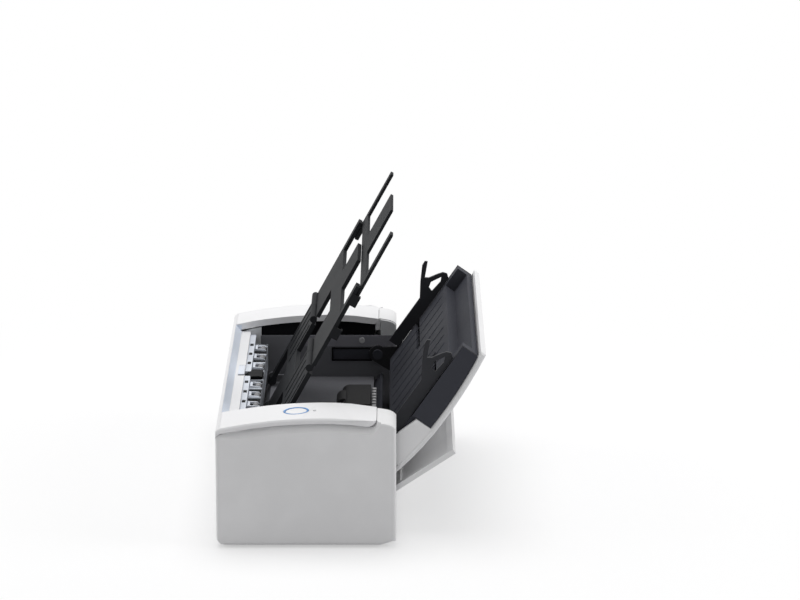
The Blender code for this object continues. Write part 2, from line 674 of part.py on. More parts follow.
def make_paper_guides():
    shell = prism(inner_guide_outline(PATH_HALF_GAP, INNER_TOP), -INNER_HALF, INNER_HALF)
    hollow = prism(inner_guide_outline(PATH_HALF_GAP + INNER_SKIN, INNER_TOP - INNER_SKIN),
                   -INNER_HALF - OVERRUN, INNER_HALF + OVERRUN)
    pick_window = block(-PICK_WINDOW_HALF, PICK_WINDOW_HALF,
                        PICK_CENTRE[0] - PICK_ROLLER_RADIUS - WINDOW_MARGIN, BODY_DEPTH,
                        TRANSFER_CENTRE[1] - PICK_ROLLER_RADIUS, INNER_TOP + OVERRUN)
    feed_window = window(FEED_HALF + WINDOW_MARGIN, FEED_CENTRE, FEED_ROLLER_RADIUS, WINDOW_MARGIN,
                         CASE_BOTTOM, FEED_CENTRE[1])
    exit_window = block(-EXIT_HALF - WINDOW_MARGIN, EXIT_HALF + WINDOW_MARGIN, 0.0, EXIT_CENTRE[0],
                        EXIT_CENTRE[1] - EXIT_ROLLER_RADIUS - WINDOW_MARGIN,
                        EXIT_CENTRE[1] + EXIT_ROLLER_RADIUS + WINDOW_MARGIN)
    glass_window = block(-SENSOR_HALF - GAP, SENSOR_HALF + GAP, UPPER_SENSOR_FRONT + WINDOW_MARGIN,
                         UPPER_SENSOR_FRONT + SENSOR_DEPTH - WINDOW_MARGIN, CASE_BOTTOM,
                         PATH_FLOOR + PATH_HALF_GAP + INNER_SKIN * 1.5)
    ears = []
    for _, side in SIDES:
        low, high = sided(side, GUIDE_HALF_WIDTH + WINDOW_MARGIN, GUIDE_HALF_WIDTH + WINDOW_MARGIN + INNER_SKIN)
        ears.append(rod(GUIDE_HINGE, low, high, GUIDE_THICKNESS))
        ears.append(block(low, high, GUIDE_HINGE[0], GUIDE_HINGE[0] + GUIDE_THICKNESS * 3,
                          INNER_TOP - INNER_SKIN / 2, GUIDE_HINGE[1] + GUIDE_THICKNESS / 3))
    pin_bore = rod(GUIDE_HINGE, -INNER, INNER, GUIDE_PIN_RADIUS + GAP)
    tube = join(cut(shell, hollow, pick_window, feed_window, exit_window, glass_window), *ears)
    tube = cut(tube, pin_bore)
    piece("inner_paper_guide", tube, "inner_grey")

    near = path_line(-PATH_HALF_GAP, OUTER_ENTRY, OUTER_FRONT_ANGLE, 0.0)
    far = path_line(-PATH_HALF_GAP - GUIDE_SKIN, OUTER_ENTRY, OUTER_FRONT_ANGLE, 0.0)
    trough = prism(near + list(reversed(far)), -INNER_HALF, INNER_HALF)
    brake_window = block(-BRAKE_HALF - WINDOW_MARGIN, BRAKE_HALF + WINDOW_MARGIN,
                         BRAKE_CENTRE[0] - BRAKE_ROLLER_RADIUS - WINDOW_MARGIN, BODY_DEPTH,
                         BRAKE_CENTRE[1] - BRAKE_ROLLER_RADIUS, BRAKE_CENTRE[1] + BRAKE_ROLLER_RADIUS)
    lower_window = block(-SENSOR_HALF - GAP, SENSOR_HALF + GAP, LOWER_SENSOR_FRONT + WINDOW_MARGIN,
                         LOWER_SENSOR_FRONT + SENSOR_DEPTH - WINDOW_MARGIN, CASE_BOTTOM, PATH_FLOOR)
    piece("outer_paper_guide", cut(trough, brake_window, lower_window), "inner_grey")


def make_sensors():
    trim = WINDOW_MARGIN + GAP
    lower_top = PATH_FLOOR - PATH_HALF_GAP - GUIDE_SKIN - GAP
    lower_rear = LOWER_SENSOR_FRONT + SENSOR_DEPTH
    piece("lower_image_sensor", block(-SENSOR_HALF, SENSOR_HALF, LOWER_SENSOR_FRONT, lower_rear,
                                      lower_top - SENSOR_HEIGHT, lower_top), "dark")
    piece("lower_scan_glass", block(-SENSOR_HALF, SENSOR_HALF, LOWER_SENSOR_FRONT + trim,
                                    lower_rear - trim, lower_top + GAP,
                                    lower_top + GAP + GLASS_THICKNESS), "glass")
    upper_base = PATH_FLOOR + PATH_HALF_GAP + INNER_SKIN + GAP
    upper_rear = UPPER_SENSOR_FRONT + SENSOR_DEPTH
    piece("upper_image_sensor", block(-SENSOR_HALF, SENSOR_HALF, UPPER_SENSOR_FRONT, upper_rear,
                                      upper_base, upper_base + SENSOR_HEIGHT), "dark")
    piece("upper_scan_glass", block(-SENSOR_HALF, SENSOR_HALF, UPPER_SENSOR_FRONT + trim,
                                    upper_rear - trim, upper_base - GAP - GLASS_THICKNESS,
                                    upper_base - GAP), "glass")


HOOD_HALF = 0.0250
HOOD_FRONT = 0.0775
HOOD_REAR = 0.0970
HOOD_TOP = 0.0600
HOOD_ROUND = 0.005
HOOD_SKIN = 0.0018
DRUM_RADIUS = 0.0048
DRUM_HALF = 0.011


def hood_outline(margin, base):
    front, rear, top = HOOD_FRONT + margin, HOOD_REAR - margin, HOOD_TOP - margin
    corner = (front + HOOD_ROUND, top - HOOD_ROUND)
    outline = [(rear, base), (rear, top)]
    outline += arc(corner, HOOD_ROUND, math.pi / 2, math.pi, 4)
    return outline + [(front, base)]


def make_pick_cover():
    base = INNER_TOP + GAP
    hood = prism(hood_outline(0.0, base), -HOOD_HALF, HOOD_HALF)
    drum = rod((HOOD_FRONT + HOOD_ROUND / 4, HOOD_TOP - DRUM_RADIUS), -DRUM_HALF, DRUM_HALF, DRUM_RADIUS)
    hollow = prism(hood_outline(HOOD_SKIN, base - OVERRUN), -HOOD_HALF + HOOD_SKIN, HOOD_HALF - HOOD_SKIN)
    mouth_half = PICK_GEAR_INNER + PICK_GEAR_WIDTH + WINDOW_MARGIN
    mouth = block(-mouth_half, mouth_half, HOOD_REAR - HOOD_SKIN * 2,
                  HOOD_REAR + OVERRUN, base - OVERRUN, PICK_CENTRE[1] + PICK_ROLLER_RADIUS)
    bore = rod(PICK_CENTRE, -HOOD_HALF - OVERRUN, HOOD_HALF + OVERRUN, SHAFT_RADIUS + GAP)
    piece("pick_cover", cut(join(hood, drum), hollow, mouth, bore), "inner_dark")


FRAME_THICKNESS = 0.0015
FRAME_FRONT = 0.012
FRAME_REAR = 0.104
FRAME_TOP = 0.0640
FRAME_FROM_PANEL = 0.002
PILLAR_RADIUS = 0.0018
MOTOR_RADIUS = 0.0135
MOTOR_LENGTH = 0.0165
GEAR_FROM_FRAME = 0.0008


def frame_plane(side):
    inner = PANEL_OUTER + FRAME_FROM_PANEL
    return sided(side, inner, inner + FRAME_THICKNESS)


def make_side_frames():
    outline = [(FRAME_FRONT, PAN_TOP + GAP), (FRAME_REAR - OVERRUN * 2, PAN_TOP + GAP),
               (FRAME_REAR, PAN_TOP + OVERRUN * 3), (FRAME_REAR, FRAME_TOP - OVERRUN),
               (FRAME_REAR - OVERRUN, FRAME_TOP), (FRAME_FRONT + OVERRUN * 3, FRAME_TOP),
               (FRAME_FRONT, FRAME_TOP - OVERRUN * 5)]
    for name, side in SIDES:
        low, high = frame_plane(side)
        holes = []
        for centre in (FEED_CENTRE, EXIT_CENTRE, TRANSFER_CENTRE):
            holes.append(rod(centre, low - OVERRUN, high + OVERRUN, SHAFT_RADIUS + GAP))
        holes.append(rod(HINGE, low - OVERRUN, high + OVERRUN, COVER_PIN_RADIUS + GAP))
        plate = prism(outline, low, high)
        if side < 0:
            pillar_end = low - GEAR_FROM_FRAME * 2 - GEAR_WIDTH
            pillars = []
            for bearing in (math.radians(35), math.radians(150), math.radians(300)):
                centre = arc(MOTOR_CENTRE, MOTOR_RADIUS - PILLAR_RADIUS, bearing, bearing, 1)[0]
                pillars.append(rod(centre, pillar_end, high - GAP, PILLAR_RADIUS, steps=10))
            post = rod(IDLER_CENTRE, low - GEAR_FROM_FRAME - GEAR_WIDTH, high - GAP, IDLER_POST_RADIUS)
            plate = join(plate, post, pillars[0], pillars[1])
        piece(name + "_side_frame", cut(plate, *holes), "zinc")


IDLER_POST_RADIUS = 0.002
COVER_PIN_RADIUS = 0.0022
GUIDE_PIN_RADIUS = 0.0014
PICK_HALF = 0.0135
BRAKE_HALF = 0.0120
ROLLER_BORE_MARGIN = 0.0002
PICK_GEAR_INNER = 0.0175
PICK_GEAR_WIDTH = 0.003
PIN_HEAD_RADIUS = 0.0035
PIN_HEAD_LENGTH = 0.002


def roller(centre, half, radius):
    edge = radius / 10
    profile = [(-half, radius - edge), (-half + edge, radius), (half - edge, radius), (half, radius - edge)]
    return turned(centre, profile, SHAFT_RADIUS + ROLLER_BORE_MARGIN, 28)


def make_drive():
    plate = frame_plane(-1)[0]
    gear_high = plate - GEAR_FROM_FRAME
    gear_low = gear_high - GEAR_WIDTH
    shaft_end = frame_plane(1)[1] + GAP * 4
    feed_phase = 0.0
    transfer_phase = meshed_phase(FEED_CENTRE, FEED_TEETH, feed_phase, TRANSFER_CENTRE, TRANSFER_TEETH)
    pick_phase = meshed_phase(TRANSFER_CENTRE, PICK_TEETH, 0.0, PICK_CENTRE, PICK_TEETH)
    idler_phase = meshed_phase(FEED_CENTRE, FEED_TEETH, feed_phase, IDLER_CENTRE, IDLER_TEETH)
    exit_phase = meshed_phase(IDLER_CENTRE, IDLER_TEETH, idler_phase, EXIT_CENTRE, EXIT_TEETH)
    motor_phase = meshed_phase(FEED_CENTRE, FEED_TEETH, feed_phase, MOTOR_CENTRE, MOTOR_TEETH)

    piece("feed_shaft", rod(FEED_CENTRE, gear_low - GAP, shaft_end, SHAFT_RADIUS), "steel", "feed")
    piece("feed_roller", roller(FEED_CENTRE, FEED_HALF, FEED_ROLLER_RADIUS), "rubber", "feed")
    piece("feed_gear", gear(FEED_CENTRE, FEED_TEETH, feed_phase, gear_low, gear_high), "gear_white", "feed")

    spindle = rod(TRANSFER_CENTRE, gear_low - GAP, shaft_end, SHAFT_RADIUS)
    pinion = prism(gear_outline(TRANSFER_CENTRE, PICK_TEETH, 0.0), PICK_GEAR_INNER,
                   PICK_GEAR_INNER + PICK_GEAR_WIDTH)
    piece("transfer_shaft", join(spindle, pinion), "steel", "transfer")
    piece("transfer_gear", gear(TRANSFER_CENTRE, TRANSFER_TEETH, transfer_phase, gear_low, gear_high),
          "gear_white", "transfer")

    piece("pick_shaft", rod(PICK_CENTRE, -HOOD_HALF - GAP * 2, HOOD_HALF + GAP * 2, SHAFT_RADIUS),
          "steel", "pick")
    piece("pick_roller", roller(PICK_CENTRE, PICK_HALF, PICK_ROLLER_RADIUS), "roller_grey", "pick")
    piece("pick_gear", gear(PICK_CENTRE, PICK_TEETH, pick_phase, PICK_GEAR_INNER,
                            PICK_GEAR_INNER + PICK_GEAR_WIDTH), "gear_white", "pick")

    piece("idler_gear", gear(IDLER_CENTRE, IDLER_TEETH, idler_phase, gear_low, gear_high,
                             IDLER_POST_RADIUS + GAP), "gear_white", "idler")
    piece("exit_shaft", rod(EXIT_CENTRE, gear_low - GAP, shaft_end, SHAFT_RADIUS), "steel", "exit")
    piece("exit_roller", roller(EXIT_CENTRE, EXIT_HALF, EXIT_ROLLER_RADIUS), "rubber", "exit")
    piece("exit_gear", gear(EXIT_CENTRE, EXIT_TEETH, exit_phase, gear_low, gear_high), "gear_white", "exit")

    motor_face = gear_low - GEAR_FROM_FRAME - GAP
    boss = MOTOR_RADIUS / 3
    spindle_radius = SHAFT_RADIUS / 2
    stem_end = gear_high - GAP
    motor = turned(MOTOR_CENTRE, [(motor_face - MOTOR_LENGTH, MOTOR_RADIUS * 0.9),
                                  (motor_face - MOTOR_LENGTH * 0.93, MOTOR_RADIUS),
                                  (motor_face, MOTOR_RADIUS), (motor_face, boss),
                                  (motor_face + GAP, boss), (motor_face + GAP, spindle_radius),
                                  (stem_end, spindle_radius)], steps=28)
    piece("drive_motor", motor, "zinc")
    piece("motor_pinion", gear(MOTOR_CENTRE, MOTOR_TEETH, motor_phase, gear_low, gear_high,
                               spindle_radius + GAP), "brass", "motor")

    brake = roller(BRAKE_CENTRE, BRAKE_HALF, BRAKE_ROLLER_RADIUS)
    piece("brake_roller", brake, "rubber", "brake")
    shaft_half = BRAKE_HALF + BRAKE_ARM_WIDTH * 2
    arms = [rod(BRAKE_CENTRE, -shaft_half, shaft_half, SHAFT_RADIUS)]
    for _, side in SIDES:
        low, high = sided(side, BRAKE_HALF + GAP * 2, BRAKE_HALF + GAP * 2 + BRAKE_ARM_WIDTH)
        arms.append(block(low, high, BRAKE_CENTRE[0] - SHAFT_RADIUS, BRAKE_CENTRE[0] + SHAFT_RADIUS,
                          BRAKE_BASE, BRAKE_CENTRE[1]))
    base = block(-shaft_half, shaft_half, BRAKE_CENTRE[0] - SHAFT_RADIUS * 1.4,
                 BRAKE_CENTRE[0] + SHAFT_RADIUS * 1.6, BRAKE_BASE - FRAME_THICKNESS, BRAKE_BASE + GAP)
    piece("brake_bracket", join(arms[0], arms[1], arms[2], base), "zinc")


BRAKE_ARM_WIDTH = 0.002
BRAKE_BASE = 0.0235


def make_pins():
    for name, side in SIDES:
        inner = COVER_HALF_LENGTH - CHEEK_THICKNESS - GAP
        outer = frame_plane(1)[1]
        profile = [(inner - PIN_HEAD_LENGTH, PIN_HEAD_RADIUS), (inner, PIN_HEAD_RADIUS),
                   (inner, COVER_PIN_RADIUS), (outer, COVER_PIN_RADIUS)]
        pin = turned(HINGE, [(side * x, radius) for x, radius in profile])
        piece(name + "_cover_pin", pin, "steel")


# Feed cover

CHEEK_THICKNESS = 0.003
CHEEK_BOSS_RADIUS = 0.0058
RIM_DEPTH = 0.0040
TRAY_START = 0.0276
TRAY_END = 0.0836
TRAY_HALF = 0.1104
TRAY_PLATE = 0.002
LOWER_PLATE_START = 0.002
LOWER_PLATE_HALF = 0.1072
LOWER_PLATE = 0.0034
SCOOP_START = 0.0690
SCOOP_HALF = 0.1000
SCOOP_DEPTH = 0.0075
RACK_STATION = 0.0440
PINION_TEETH = 12
RACK_LIFT = 0.0036
RACK_THICKNESS = 0.003


def opened(points):
    return [turned_about(point, HINGE, -CLOSING_ANGLE) for point in points]


def cover_points(points):
    return [at(COVER_FRAME, along, lift) for along, lift in points]


def outer_lift(along):
    """How far the cover's outer face lies behind the paper plate, at a distance along the plate."""
    y = HINGE[0] - along
    closed = turned_about((y, top_height(y)), HINGE, -CLOSING_ANGLE)
    frame_point = COVER_FRAME.inverted() @ Vector((0.0, closed[0], closed[1]))
    return frame_point.z


def make_cover_shell():
    outer = top_run(COVER_FRONT, COVER_REAR, clear=END_ROUNDING)
    closed = outer + list(reversed([(y, z - RIM_DEPTH) for y, z in outer]))
    closed = list(reversed(closed))
    rings = []
    edge = END_ROUNDING / 2
    half = COVER_HALF_LENGTH
    for x, depth in ((-half, edge), (-half + edge, 0.0), (half - edge, 0.0), (half, edge)):
        rings.append([(x, y, z) for y, z in opened(inset(closed, depth))])
    shell = solid(rings)
    pocket_line = top_run(COVER_FRONT + COVER_SKIN, COVER_REAR - COVER_SKIN)
    pocket = [(y, z - COVER_SKIN) for y, z in pocket_line]
    pocket += reversed([(y, z - COVER_SKIN - RIM_DEPTH) for y, z in pocket_line])
    inside = half - CHEEK_THICKNESS
    shell = cut(shell, prism(opened(pocket), -inside, inside))
    root_lift = outer_lift(-PICK_ROLLER_RADIUS / 2) + COVER_SKIN / 2
    edge_lift = outer_lift(TRAY_START) + COVER_SKIN / 2
    arm = [(-PICK_ROLLER_RADIUS / 2, root_lift), (TRAY_START - GAP, edge_lift),
           (TRAY_START - GAP, -LOWER_PLATE - GAP), (CHEEK_BOSS_RADIUS * 2, CHEEK_BOSS_RADIUS / 4),
           (CHEEK_BOSS_RADIUS, HINGE_ABOVE_PAPER), (-CHEEK_BOSS_RADIUS, HINGE_ABOVE_PAPER)]
    parts = []
    holes = []
    for _, side in SIDES:
        low, high = sided(side, half - CHEEK_THICKNESS, half - GAP)
        parts.append(prism(cover_points(arm), low, high))
        parts.append(rod(HINGE, low, high, CHEEK_BOSS_RADIUS))
        holes.append(rod(HINGE, low - OVERRUN, high + OVERRUN, COVER_PIN_RADIUS + GAP))
    piece("cover_shell", cut(join(shell, *parts), *holes), "case_white", "cover")


def tray_back(along):
    return outer_lift(along) + RIM_DEPTH + GAP


def make_cover_tray():
    steps = 8
    stations = [TRAY_START + (TRAY_END - TRAY_START) * step / steps for step in range(steps + 1)]
    back = [(along, tray_back(along)) for along in stations]
    main = prism(back + [(TRAY_END, 0.0), (TRAY_START, 0.0)], -TRAY_HALF, TRAY_HALF)
    lower = prism([(LOWER_PLATE_START, -LOWER_PLATE), (TRAY_START + OVERRUN, -LOWER_PLATE),
                   (TRAY_START + OVERRUN, 0.0), (LOWER_PLATE_START, 0.0)],
                  -LOWER_PLATE_HALF, LOWER_PLATE_HALF)
    pocket_end = SCOOP_START - TRAY_PLATE
    pocket_start = TRAY_START + TRAY_PLATE
    pocket = block(-TRAY_HALF + TRAY_PLATE, TRAY_HALF - TRAY_PLATE, pocket_start, pocket_end,
                   tray_back(RACK_STATION) - OVERRUN, -TRAY_PLATE)
    scoop = block(-SCOOP_HALF, SCOOP_HALF, SCOOP_START, TRAY_END + OVERRUN, -SCOOP_DEPTH, OVERRUN)
    slots = []
    slot_half = STEM_HALF + SLACK
    for _, side in SIDES:
        station = RACK_STATION + side * RACK_OFFSET
        low, high = sided(side, GUIDE_WALL_INNER - SIDE_GUIDE_TRAVEL - WINDOW_MARGIN, GUIDE_WALL_OUTER + GAP)
        slots.append(block(low, high, station - slot_half, station + slot_half, -TRAY_PLATE - OVERRUN,
                           OVERRUN))
    post_radius = TOOTH_SIZE * PINION_TEETH / 4
    post = upright(0.0, RACK_STATION, [(-RACK_LIFT - RACK_THICKNESS, post_radius), (-TRAY_PLATE / 2,
                                                                                  post_radius)])
    tray = join(cut(join(main, lower), pocket, scoop, *slots), post)
    piece("cover_tray", in_frame(COVER_FRAME, tray), "inner_dark", "cover")


GUIDE_WALL_INNER = 0.1056
GUIDE_WALL_OUTER = 0.1078
SIDE_GUIDE_TRAVEL = 0.070
SIDE_WALL_LIFT = 0.0085
STEM_HALF = 0.0017
RACK_HALF = 0.0014
RACK_OFFSET = TOOTH_SIZE * PINION_TEETH / 2 + ROOT_FALL_SHARE * TOOTH_SIZE + RACK_HALF
FINGER_FOOT_SHARES = (0.0490, 0.0560)


def side_guide_outline():
    """Wall strip with its tall finger and the arm that braces it; a window lies between them."""
    lift = SIDE_WALL_LIFT
    return [(0.0130, GAP), (0.0730, GAP), (0.0752, 0.0030), (0.0742, 0.0060), (0.0715, 0.0080),
            (0.0655, 0.0117), (0.0640, 0.0140), (0.0745, 0.0190), (0.0735, 0.0208), (0.0700, 0.0205),
            (0.0600, 0.0150), (0.0500, lift), (0.0130, lift)]


def side_guide_window():
    return [(0.0590, 0.0045), (0.0680, 0.0035), (0.0710, 0.0050), (0.0640, 0.0088), (0.0600, 0.0078)]


def rack_teeth(station, toward, first, last):
    """Teeth of a rack along X between two places, pointing towards the pinion."""
    pitch = math.pi * TOOTH_SIZE
    pitch_line = RACK_STATION + (station - RACK_STATION) / abs(station - RACK_STATION) * (
        TOOTH_SIZE * PINION_TEETH / 2)
    root = pitch_line - toward * ROOT_FALL_SHARE * TOOTH_SIZE
    tip = pitch_line + toward * TIP_RISE_SHARE * TOOTH_SIZE
    points = []
    index = math.ceil(first / pitch - 0.5)
    while (index + 0.5 + TOOTH_ROOT_SHARE) * pitch < last:
        middle = (index + 0.5) * pitch
        if middle - TOOTH_ROOT_SHARE * pitch > first:
            points += [(middle - TOOTH_ROOT_SHARE * pitch, root), (middle - TOOTH_TIP_SHARE * pitch, tip),
                       (middle + TOOTH_TIP_SHARE * pitch, tip), (middle + TOOTH_ROOT_SHARE * pitch, root)]
        index += 1
    back = station - toward * RACK_HALF
    outline = [(first, root)] + points + [(last, root), (last, back), (first, back)]
    return outline


def flat_plate(outline, low, high):
    """Extrude an outline of (x, along) through a range of lift."""
    return solid([[(x, along, lift) for x, along in outline] for lift in (low, high)])


def make_side_guides():
    for name, side in SIDES:
        low, high = sided(side, GUIDE_WALL_INNER, GUIDE_WALL_OUTER)
        wall = cut(prism(side_guide_outline(), low, high),
                   prism(side_guide_window(), low - OVERRUN, high + OVERRUN))
        station = RACK_STATION + side * RACK_OFFSET
        stem = block(low, high, station - STEM_HALF, station + STEM_HALF, -RACK_LIFT - GAP, OVERRUN / 2)
        reach = TOOTH_SIZE * PINION_TEETH
        first, last = sided(side, -reach, GUIDE_WALL_OUTER)
        rack = flat_plate(rack_teeth(station, -side, first, last), -RACK_LIFT - RACK_THICKNESS, -RACK_LIFT)
        guide = in_frame(COVER_FRAME, join(wall, stem, rack))
        piece(name + "_side_guide", guide, "black", name + "_guide")
    centre = (0.0, RACK_STATION)
    wheel = gear_outline(centre, PINION_TEETH, 0.0)
    pinion = flat_plate(wheel, -RACK_LIFT - RACK_THICKNESS, -RACK_LIFT)
    bore_radius = TOOTH_SIZE * PINION_TEETH / 4 + GAP
    bore = upright(0.0, RACK_STATION, [(-RACK_LIFT - RACK_THICKNESS - OVERRUN, bore_radius),
                                       (OVERRUN, bore_radius)])
    piece("guide_pinion", in_frame(COVER_FRAME, cut(pinion, bore)), "gear_white", "pinion")


# Rear flap

FLAP_SKIN = 0.0018
FLAP_RIM = 0.0045
FLAP_BARREL_RADIUS = 0.0021


def make_rear_flap():
    half = FLAP_THICKNESS / 2
    plate = block(-COVER_HALF_LENGTH, COVER_HALF_LENGTH, FLAP_ROD_RADIUS / 3, FLAP_LENGTH, -half, half)
    recess = block(-COVER_HALF_LENGTH + FLAP_RIM, COVER_HALF_LENGTH - FLAP_RIM, FLAP_RIM * 1.5,
                   FLAP_LENGTH - FLAP_RIM, -half + FLAP_SKIN, half + OVERRUN)
    barrel = rod((0.0, 0.0), -COVER_HALF_LENGTH, COVER_HALF_LENGTH, FLAP_BARREL_RADIUS)
    bore = rod((0.0, 0.0), -INNER, INNER, FLAP_ROD_RADIUS + GAP)
    gaps = []
    for _, side in SIDES:
        low, high = sided(side, FLAP_EAR_ALONG - SLACK, FLAP_EAR_ALONG + EAR_WIDTH + SLACK)
        gaps.append(block(low, high, -FLAP_BARREL_RADIUS * 2, FLAP_BARREL_RADIUS * 1.5,
                          -FLAP_BARREL_RADIUS * 2, FLAP_BARREL_RADIUS * 2))
    flap = cut(join(plate, barrel), recess, *gaps, bore)
    piece("rear_flap", in_frame(FLAP_FRAME, flap), "case_grey", "flap")


# Output guide

LEG_OUTER = 0.0860
LEG_CENTRE = 0.0240
LEG_LENGTH = 0.026
LEAF_PRONG_START = 0.040
NOTCH_HALF = 0.0285
NOTCH_DEPTH = 0.024
KNUCKLE_RADIUS = 0.0024
KNUCKLE_SPLIT = 0.0600
KNUCKLE_LIFT = GUIDE_THICKNESS / 2 + 0.00025
KNUCKLE_CLEAR = KNUCKLE_RADIUS + SLACK
LEAF_HALF_WIDTH = 0.0960
TONGUE_HALF_WIDTH = 0.0955
TONGUE_START = 0.050
TONGUE_BAR_START = 0.0612
TONGUE_BAR_END = 0.0692
CLIP_STARTS = (0.0245, 0.0490)
CLIP_LENGTH = 0.0075
CLIP_THICKNESS = 0.0009


def legs_window(start, end, lift):
    cutters = []
    for _, side in SIDES:
        low, high = sided(side, LEG_CENTRE, LEG_OUTER)
        cutters.append(block(low, high, start, end, -lift, lift))
    return cutters


def make_output_guide():
    thick = GUIDE_THICKNESS / 2
    end = GUIDE_BASE_LENGTH
    barrel_radius = GUIDE_THICKNESS
    plate = block(-GUIDE_HALF_WIDTH, GUIDE_HALF_WIDTH, GAP, end - KNUCKLE_CLEAR, -thick, thick)
    barrel = rod((0.0, 0.0), -GUIDE_HALF_WIDTH, GUIDE_HALF_WIDTH, barrel_radius)
    bridges = []
    for _, side in SIDES:
        low, high = sided(side, NOTCH_HALF + GAP, KNUCKLE_SPLIT)
        bridges.append(block(low, high, end - KNUCKLE_CLEAR * 1.5, end, -KNUCKLE_LIFT / 4, thick - GAP / 3))
        bridges.append(rod((end, KNUCKLE_LIFT), low, high, KNUCKLE_RADIUS))
    notch = block(-NOTCH_HALF, NOTCH_HALF, end - NOTCH_DEPTH, end + OVERRUN, -OVERRUN, OVERRUN * 2)
    pin_end = GUIDE_HALF_WIDTH + WINDOW_MARGIN + INNER_SKIN
    pins = []
    for _, side in SIDES:
        pins.append(rod((0.0, 0.0), *sided(side, GUIDE_HALF_WIDTH - OVERRUN, pin_end), GUIDE_PIN_RADIUS))
    openings = legs_window(-barrel_radius - OVERRUN, LEG_LENGTH, barrel_radius + OVERRUN)
    base = join(cut(join(plate, barrel, *bridges), notch, *openings), *pins)
    piece("output_guide_base", in_frame(GUIDE_FRAME, base), "black", "guide_base")

    leaf_half = LEAF_THICKNESS / 2
    far = end + GUIDE_LEAF_LENGTH
    leaf = block(-LEAF_HALF_WIDTH, LEAF_HALF_WIDTH, end + KNUCKLE_CLEAR, far, -leaf_half, leaf_half)
    parts = []
    for _, side in SIDES:
        low, high = sided(side, KNUCKLE_SPLIT + SLACK, LEAF_HALF_WIDTH)
        parts.append(block(low, high, end, end + KNUCKLE_CLEAR * 1.5, -KNUCKLE_LIFT / 4, leaf_half - GAP / 3))
        parts.append(rod((end, KNUCKLE_LIFT), low, high, KNUCKLE_RADIUS))
        for start in CLIP_STARTS:
            back = -leaf_half - SLACK - TONGUE_THICKNESS - SLACK
            low, high = sided(side, LEAF_HALF_WIDTH - CLIP_THICKNESS / 2,
                              LEAF_HALF_WIDTH + CLIP_THICKNESS)
            parts.append(block(low, high, end + start, end + start + CLIP_LENGTH,
                               back - CLIP_THICKNESS, leaf_half - GAP))
            low, high = sided(side, LEAF_HALF_WIDTH - CLIP_LENGTH / 2, LEAF_HALF_WIDTH + CLIP_THICKNESS / 2)
            parts.append(block(low, high, end + start, end + start + CLIP_LENGTH,
                               back - CLIP_THICKNESS, back))
    leaf_notch = block(-NOTCH_HALF, NOTCH_HALF, end - OVERRUN, end + NOTCH_DEPTH, -OVERRUN, OVERRUN)
    prongs = legs_window(end + LEAF_PRONG_START, far + OVERRUN, OVERRUN)
    leaf = cut(join(leaf, *parts), leaf_notch, *prongs)
    piece("output_guide_leaf", in_frame(GUIDE_FRAME, leaf), "black", "guide_leaf")

    tip = far + GUIDE_TONGUE_TRAVEL
    start = end + TONGUE_START
    top = -leaf_half - SLACK
    tongue = block(-TONGUE_HALF_WIDTH + GAP, TONGUE_HALF_WIDTH - GAP, start, tip, top - TONGUE_THICKNESS,
                   top)
    openings = legs_window(end + TONGUE_BAR_END, tip + OVERRUN, OVERRUN * 2)
    openings.append(block(-LEG_OUTER, LEG_OUTER, start - OVERRUN, end + TONGUE_BAR_START, -OVERRUN * 2,
                          OVERRUN * 2))
    piece("output_guide_tongue", in_frame(GUIDE_FRAME, cut(tongue, *openings)), "black", "guide_tongue")


# Front section

BAR_REAR = COVER_FRONT - SLACK
SLAB_CORNER = 0.005
LIP_REAR = 0.0024
HOLLOW_FOOT = 0.0066
FLAT_SKIN = 0.0019
LEDGE_HEIGHT = 0.0720
LEDGE_REAR = 0.0165
HOLDER_HEIGHT = 0.0700
HOLDER_REAR = 0.0250
HOLDER_HALF = 0.0980
HOLDER_SKIN = 0.002
HOLDER_DROP = 0.0530
CHUTE_NECK = (0.0240, 0.0500)
CHUTE_TIP = (0.0222, 0.0405)
RIB_COUNT = 9
RIB_THICKNESS = 0.0016
RIB_HEIGHT = 0.0012


def slab_outline(rear, depth):
    top = [point for point in TOP_LINE if point[0] < TOP_COVER_REACH - SLAB_CORNER - TOP_COVER_THICKNESS]
    under = [(y, z - TOP_COVER_THICKNESS) for y, z in top] + slab_end(rear, TOP_COVER_THICKNESS)
    top.append((rear, top_height(rear)))
    return inset(under + list(reversed(top)), depth)


def front_bar():
    """Outline of the bar along the front: an edge lip, a slope behind it and a flat that clears fingers."""
    flat = LEDGE_HEIGHT + GAP + FLAT_SKIN
    lip = top_run(0.0, LIP_REAR)
    slope_run, slope_fall = HOLLOW_FOOT - LIP_REAR, lip[-1][1] - flat
    skin_run = FLAT_SKIN * math.hypot(slope_run, slope_fall) / slope_fall
    root = lip[-1][1] - (WALL + skin_run - LIP_REAR) * slope_fall / slope_run
    under = FRONT_EDGE_HEIGHT - TOP_COVER_THICKNESS
    outline = [(0.0, under), (WALL, under), (WALL, root)]
    outline.append((HOLLOW_FOOT - skin_run + FLAT_SKIN * slope_run / slope_fall, flat - FLAT_SKIN))
    outline += [(BAR_REAR, flat - FLAT_SKIN), (BAR_REAR, flat), (HOLLOW_FOOT, flat)]
    return outline + list(reversed(lip))


